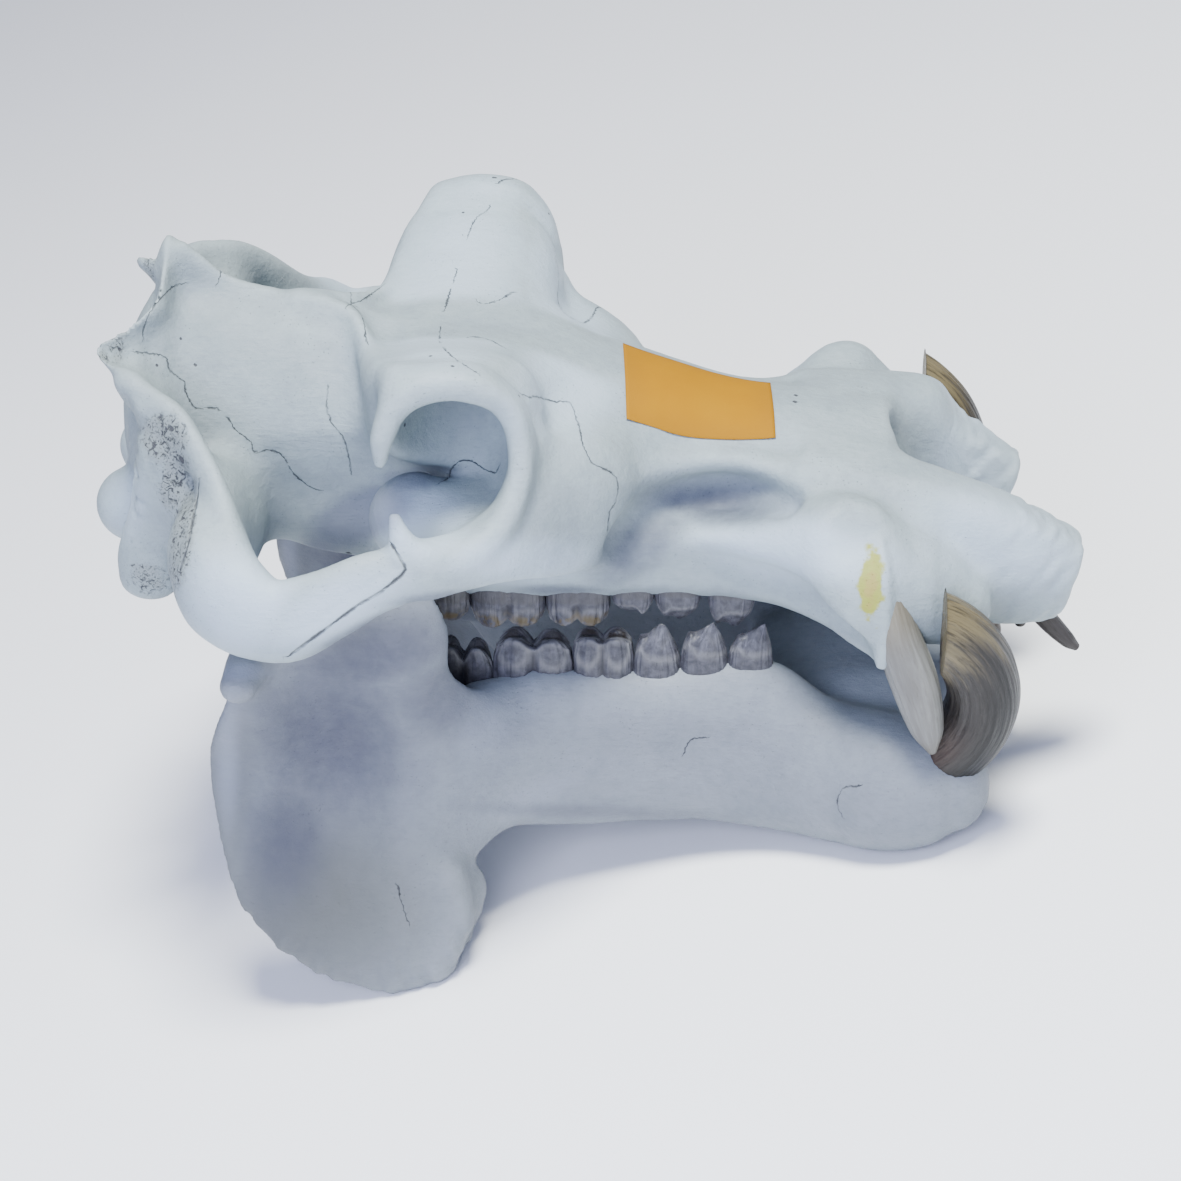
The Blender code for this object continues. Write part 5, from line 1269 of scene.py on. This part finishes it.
def horn(stations, around, spacing, ridges, seed, cap=0.5, reshape=None):
    """A bar of ivory whose rings are rippled by ridges that run along it; fibre is a place on a straightened copy."""
    rings, middle = bar_rings(stations, up=(0, 1, 0), around=around, spacing=spacing, cap=cap, ends=10)
    v = np.linspace(0, 2 * math.pi, around, endpoint=False)
    rng = np.random.default_rng(seed)
    ripple = sum(ridges * rng.uniform(0.3, 1) * np.sin(k * v + rng.uniform(0, 6.3)) for k in (6, 11, 17, 26, 37, 48))
    out = rings - middle[:, None]
    rings = middle[:, None] + out * (1 + ripple[None, :, None])
    step = np.linalg.norm(np.diff(middle, axis=0), axis=1)
    length = np.concatenate([[0], np.cumsum(step)])
    along = np.repeat((length / length[-1])[:, None], around, 1)
    outer = np.repeat(np.cos(v)[None], len(middle), 0)
    radius = np.asarray(stations, float)[:, 3:5].mean()
    fibre = np.stack([radius * np.cos(v)[None] + 0 * along, radius * np.sin(v)[None] + 0 * along,
                      0.1 * length[:, None] + 0 * along], -1)
    if reshape:
        rings = reshape(rings)
    points, quads, triangles = close_rings(rings)
    flat = lambda grid: np.concatenate([grid[0, :1], grid[1:-1].reshape(-1, *grid.shape[2:]), grid[-1, :1]])
    return points, quads, triangles, {"along": flat(along), "outer": flat(outer), "fibre": flat(fibre)}


def tusk_rows():
    """Stations of the lower canine along its arc, leaning outwards as it rises."""
    t = np.linspace(0, 1, 12)
    angle = np.radians(TUSK_ANGLES[0] + t * (TUSK_ANGLES[1] - TUSK_ANGLES[0]))
    x = TUSK_MIDDLE[0] + TUSK_RADIUS * np.cos(angle)
    z = TUSK_MIDDLE[1] + TUSK_RADIUS * np.sin(angle)
    y = TUSK_SPREAD[0] + t * (TUSK_SPREAD[1] - TUSK_SPREAD[0])
    half = TUSK_HALF_WIDTHS[0] + t * (TUSK_HALF_WIDTHS[1] - TUSK_HALF_WIDTHS[0])
    return np.column_stack([x, y, z, half, half])


def tusk_wear(rings):
    """Presses everything behind the wear plane flat onto it, above the gum."""
    pressed = rings.copy()
    above = ease((rings[..., 2] + 4.5) / 1.5)
    pressed[..., 0] += above * np.maximum(TUSK_WEAR_X - rings[..., 0], 0)
    return pressed


def left_tusk(p):
    """Draws the worn tip of the left tusk out upwards, by a share that eases in above the jaw."""
    q = p.copy()
    q[:, 2] += LEFT_TUSK_LONGER * ease((p[:, 2] - 1) / 7)
    return q


def on_right(points, quads, triangles):
    """The mirror image, with its faces turned round again."""
    return points * np.array([1, -1, 1]), quads[:, ::-1], triangles[:, ::-1]


def outward(points, quads, triangles):
    """Turns the faces round if they enclose a negative volume."""
    total = 0.0
    for faces in (quads[:, :3], quads[:, [0, 2, 3]], triangles):
        a, b, c = points[faces[:, 0]], points[faces[:, 1]], points[faces[:, 2]]
        total += np.einsum("ij,ij->i", a, np.cross(b, c)).sum()
    if total < 0:
        return points, quads[:, ::-1], triangles[:, ::-1]
    return points, quads, triangles


def place_tooth(node_name, mesh, right, paint, slot, warp=None):
    """Makes a tooth's piece from its left-side mesh, mirrored if it is a right one and then warped."""
    points, quads, triangles, attributes = mesh
    points, quads, triangles = outward(points, quads, triangles)
    if right:
        points, quads, triangles = on_right(points, quads, triangles)
    moved = warp(points) if warp else points
    faces = face_list(quads, triangles)
    return make_piece(node_name + "_tooth", moved, faces, paint, node_name, slot, place=points, **attributes)


def label_mesh(tree, columns=44, rows=34):
    """A sheet laid over the snout.

    The sheet is a grid between four corners in X and Y. Its height is where a ray from above meets the bone,
    averaged with its neighbours as stiff paper would be, never below the bone, with the corners lifted slightly."""
    corner = np.array(LABEL_CORNERS, float)
    u = np.linspace(0, 1, columns)[:, None]
    v = np.linspace(0, 1, rows)[None, :]
    flat = ((1 - u) * (1 - v))[..., None] * corner[0] + (u * (1 - v))[..., None] * corner[1]
    flat = flat + (u * v)[..., None] * corner[2] + ((1 - u) * v)[..., None] * corner[3]
    hits = [tree.ray_cast(Vector((x, y, 40)), Vector((0, 0, -1)))[0].z for x, y in flat.reshape(-1, 2)]
    bone = np.array(hits).reshape(columns, rows)
    height = bone.copy()
    for _ in range(LABEL_STEPS):
        padded = np.pad(height, 1, mode="reflect", reflect_type="odd")
        height = np.maximum(bone, (padded[2:, 1:-1] + padded[:-2, 1:-1] + padded[1:-1, 2:] + padded[1:-1, :-2]) / 4)
    edge = np.maximum(np.abs(2 * u - 1), np.abs(2 * v - 1))
    lift = LABEL_GAP + LABEL_CURL * (np.abs(2 * u - 1) * np.abs(2 * v - 1)) ** 6
    under = np.concatenate([flat, (height + lift)[..., None]], -1)
    over = under + np.array([0, 0, LABEL_THICKNESS])
    points = np.concatenate([over.reshape(-1, 3), under.reshape(-1, 3)])
    count = columns * rows
    i = np.arange(columns - 1)[:, None] * rows
    j = np.arange(rows - 1)[None, :]
    top = np.stack([i + j, i + rows + j, i + rows + j + 1, i + j + 1], -1).reshape(-1, 4)
    loop = np.concatenate([np.arange(rows), np.arange(2, columns) * rows - 1,
                           np.arange(count - 1, count - rows - 1, -1), np.arange(columns - 2, 0, -1) * rows])
    nxt = np.roll(loop, -1)
    walls = np.stack([loop, nxt, nxt + count, loop + count], -1)
    quads = np.concatenate([top, top[:, ::-1] + count, walls])
    return points, quads, np.tile(np.broadcast_to(edge, (columns, rows)).ravel(), 2)


class SkullSizes(bpy.types.PropertyGroup):
    """The grid of the bones and the height of the main light"""

    grid: FloatProperty(name="Bone grid", description="Cell size in which the forms of a bone are joined",
                        default=0.0025, min=0.0015, max=0.02, unit="LENGTH")
    light_height: FloatProperty(name="Light height", description="How high the main light hangs over the floor",
                                default=3.5, min=0.5, max=10.0, unit="LENGTH")


def colour_setting(name, description, default):
    """A colour of a material, as three shares of light from 0 to 1."""
    return FloatVectorProperty(name=name, description=description, subtype="COLOR", size=3, default=default,
                               min=0, max=1)


class SkullColours(bpy.types.PropertyGroup):
    """The colours of the materials and the floor"""

    bone_light: colour_setting("Bone", "Clean bone", (0.335, 0.372, 0.366))
    bone_dark: colour_setting("Bone blotches", "Darker blotches on the bone", (0.235, 0.263, 0.272))
    # Dust and painted shade in the hollows; also the colour of the painted shade areas round the orbit
    bone_hollow_dust_and_shade: colour_setting("Bone hollows", "Dust in the hollows of the bone", (0.145, 0.15, 0.20))
    # Painted light: the colour that the pale areas of both bones take
    bone_painted_light: colour_setting("Bone worn clean", "The palest, cleanest bone", (0.46, 0.515, 0.56))
    cranium_tone: colour_setting("Cranium tone", "Multiplies the colours of the cranium", (0.84, 0.90, 0.93))
    # Painted shade: the lower jaw is made darker and bluer as a whole
    jaw_shade_tone: colour_setting("Lower jaw tone", "Multiplies the colours of the lower jaw", (0.60, 0.60, 0.67))
    bone_dust_and_shade: colour_setting("Bone dust", "Dust and soft shade in patches of both bones", (0.086, 0.092, 0.120))
    bone_stain: colour_setting("Bone stain", "Yellow stain beside the upper canine", (0.34, 0.32, 0.0))
    enamel_light: colour_setting("Enamel", "Light enamel of the cheek teeth", (0.072, 0.072, 0.086))
    enamel_dark: colour_setting("Enamel grooves", "Dark grooves of the cheek teeth", (0.030, 0.030, 0.037))
    tusk_tip: colour_setting("Tusk tip", "Tan ivory at the tip of the tusk", (0.15, 0.12, 0.06))
    label: colour_setting("Label", "Orange paper of the label", (0.31, 0.135, 0.0))
    floor: colour_setting("Floor", "Pale studio floor", (0.93, 0.93, 0.93))


class SkullSettings(bpy.types.PropertyGroup):
    """All settings of the skull"""

    sizes: PointerProperty(type=SkullSizes)
    colours: PointerProperty(type=SkullColours)


def grid_cell(context):
    return context.scene.skull.sizes.grid / CM * 1.0


def same(points):
    """Leaves the points where they are."""
    return points


class SKULL_OT_cranium(bpy.types.Operator):
    """Builds the cranium"""

    bl_idname = "skull.cranium"
    bl_label = "Cranium"

    def execute(self, context):
        colours = context.scene.skull.colours
        build_bone("cranium_bone", cranium_volume(grid_cell(context)), cranium_relief, mastoid_pits,
                   (SEAMS, GROOVES, HOLES, SHADE_AND_DUST_CRANIUM, LAVENDER_SHADE, SPONGY, PAINTED_LIGHT, []), colours, colours.cranium_tone,
                   "cranium", left_side, False)
        return {"FINISHED"}


class SKULL_OT_mandible(bpy.types.Operator):
    """Builds the lower jaw"""

    bl_idname = "skull.mandible"
    bl_label = "Lower jaw"

    def execute(self, context):
        colours = context.scene.skull.colours
        build_bone("mandible_bone", mandible_volume(grid_cell(context)), mandible_relief, no_pits,
                   (JAW_SEAMS, {}, [], SHADE_AND_DUST_JAW, [], [], PAINTED_LIGHT_JAW, GREENISH), colours, colours.jaw_shade_tone, "mandible",
                   same, True)
        return {"FINISHED"}


class SKULL_OT_cheek_teeth(bpy.types.Operator):
    """Builds the premolars and molars of both jaws"""

    bl_idname = "skull.cheek_teeth"
    bl_label = "Cheek teeth"

    def execute(self, context):
        paint = enamel_material("cheek_enamel", context.scene.skull.colours)
        rows = [("upper", UPPER_ROW, UPPER_CHEEK_TEETH), ("lower", LOWER_ROW, LOWER_CHEEK_TEETH)]
        specs = [(jaw, row, name, spec) for jaw, row, teeth in rows for name, spec in teeth.items()]
        for seed, (jaw, row, name, spec) in enumerate(specs, 1):
            molar = name.startswith("molar")
            mesh = cheek_tooth(spec, row, seed, not molar, 1.0 if molar and jaw == "upper" else 0.0)
            for side in ("left", "right"):
                place_tooth(f"{jaw}_{name}_{side}", mesh, side == "right", paint, "cheek_tooth")
        return {"FINISHED"}


class SKULL_OT_canines(bpy.types.Operator):
    """Builds the upper canines and the tusks of the lower jaw"""

    bl_idname = "skull.canines"
    bl_label = "Canines and tusks"

    def execute(self, context):
        tusk_paint = tusk_material(context.scene.skull.colours)
        canine_paint = canine_material()
        tusk = horn(tusk_rows(), 144, 0.12, 0.006, 21, reshape=tusk_wear)
        canine = horn(UPPER_CANINE, 96, 0.12, 0.008, 22)
        for side in ("left", "right"):
            longer = left_tusk if side == "left" else None
            place_tooth(f"lower_canine_{side}", tusk, side == "right", tusk_paint, "tusk", longer)
            place_tooth(f"upper_canine_{side}", canine, side == "right", canine_paint, "upper_canine")
        return {"FINISHED"}


class SKULL_OT_incisors(bpy.types.Operator):
    """Builds the incisors of both jaws"""

    bl_idname = "skull.incisors"
    bl_label = "Incisors"

    def execute(self, context):
        paint = incisor_material()
        for number, (name, rows) in enumerate({**UPPER_INCISORS, **LOWER_INCISORS}.items()):
            mesh = horn(rows, 48, 0.12, 0.01, 31 + number, cap=0.7)
            for side in ("left", "right"):
                warp = left_side if name.startswith("upper") else None
                place_tooth(f"{name}_{side}", mesh, side == "right", paint, "incisor", warp)
        return {"FINISHED"}


class SKULL_OT_label(bpy.types.Operator):
    """Lays the paper label over the snout"""

    bl_idname = "skull.label"
    bl_label = "Paper label"

    def execute(self, context):
        bone = bpy.data.objects["cranium_bone"].data
        back = np.linalg.inv(np.array(rest_matrix()))
        co = np.empty(len(bone.vertices) * 3)
        bone.vertices.foreach_get("co", co)
        co = co.reshape(-1, 3) @ back[:3, :3].T + back[:3, 3]
        faces = np.empty(len(bone.polygons) * 3, np.int32)
        bone.polygons.foreach_get("vertices", faces)
        tree = BVHTree.FromPolygons(co.tolist(), faces.reshape(-1, 3).tolist())
        points, quads, edge = label_mesh(tree)
        none = np.zeros((0, 3), int)
        points, quads, _ = outward(points, quads, none)
        paint = label_material(context.scene.skull.colours)
        make_piece("paper_label_sheet", points, quads.tolist(), paint, "paper_label", "label_paper", place=points,
                   edge=edge)
        return {"FINISHED"}


class SKULL_OT_stage(bpy.types.Operator):
    """Lays the floor, hangs the lights and sets the camera"""

    bl_idname = "skull.stage"
    bl_label = "Floor, lights and camera"

    def execute(self, context):
        scene = context.scene
        colours = scene.skull.colours
        bpy.ops.mesh.primitive_plane_add(size=FLOOR_SIZE, location=(0, 0, -FLOOR_GAP))
        floor = context.object
        floor.name = "studio_floor"
        floor.data.materials.append(floor_material(colours.floor))
        world = bpy.data.worlds.new("studio")
        world.use_nodes = True
        sky = world.node_tree.nodes["Background"].inputs
        sky["Color"].default_value = SKY_COLOUR
        sky["Strength"].default_value = SKY_STRENGTH
        scene.world = world
        for name, (x, y, z), size, power, colour in LIGHTS:
            self.light(name, (x, y, scene.skull.sizes.light_height if z is None else z), size, power, colour)
        self.camera(scene)
        return {"FINISHED"}

    @staticmethod
    def light(name, place, size, power, colour):
        """A round lamp that points at the middle of the skull."""
        lamp = bpy.data.lights.new(name, "AREA")
        lamp.shape = "DISK"
        lamp.size = size
        lamp.energy = power
        lamp.color = colour
        holder = bpy.data.objects.new(name, lamp)
        bpy.context.scene.collection.objects.link(holder)
        holder.location = place
        holder.rotation_euler = (Vector(LIGHT_AIM) - Vector(place)).to_track_quat("-Z", "Y").to_euler()

    @staticmethod
    def camera(scene):
        """The camera keeps its place in the skull's own directions, and is pitched with the skull."""
        right, up, ahead = camera_axes()
        own = Matrix(np.column_stack([right, up, -ahead]).tolist()).to_4x4()
        own.translation = Vector(-ahead * CAMERA_DISTANCE * CM)
        turn = Matrix.Rotation(math.radians(REST_PITCH), 4, "Y")
        lens = bpy.data.cameras.new("photo_camera")
        lens.sensor_width = SENSOR
        lens.lens = SENSOR * CAMERA_FOCAL / FRAME_PIXELS
        lens.clip_end = CAMERA_REACH
        holder = bpy.data.objects.new("photo_camera", lens)
        scene.collection.objects.link(holder)
        holder.matrix_world = Matrix.Translation([value * CM for value in REST_PLACE]) @ turn @ own
        scene.camera = holder


OPERATORS = (SKULL_OT_cranium, SKULL_OT_mandible, SKULL_OT_cheek_teeth, SKULL_OT_canines, SKULL_OT_incisors,
             SKULL_OT_label, SKULL_OT_stage)


class SKULL_PT_panel(bpy.types.Panel):
    """Settings and building steps in the sidebar of the 3D view"""

    bl_idname = "SKULL_PT_panel"
    bl_label = "Hippopotamus skull"
    bl_space_type = "VIEW_3D"
    bl_region_type = "UI"
    bl_category = "Skull"

    def draw(self, context):
        settings = context.scene.skull
        for group in (settings.sizes, settings.colours):
            for key in group.__annotations__:
                self.layout.prop(group, key)
        for operator in OPERATORS:
            self.layout.operator(operator.bl_idname)


CLASSES = (SkullSizes, SkullColours, SkullSettings, *OPERATORS, SKULL_PT_panel)


def register():
    """Adds the classes, and the settings to every scene."""
    for item in CLASSES:
        bpy.utils.register_class(item)
    bpy.types.Scene.skull = PointerProperty(type=SkullSettings)


def unregister():
    """Takes the settings and the classes away again."""
    del bpy.types.Scene.skull
    for item in reversed(CLASSES):
        bpy.utils.unregister_class(item)


def main():
    """Builds every piece and the stage."""
    register()
    bpy.ops.skull.cranium()
    bpy.ops.skull.mandible()
    bpy.ops.skull.cheek_teeth()
    bpy.ops.skull.canines()
    bpy.ops.skull.incisors()
    bpy.ops.skull.label()
    bpy.ops.skull.stage()


if __name__ == "__main__":
    main()
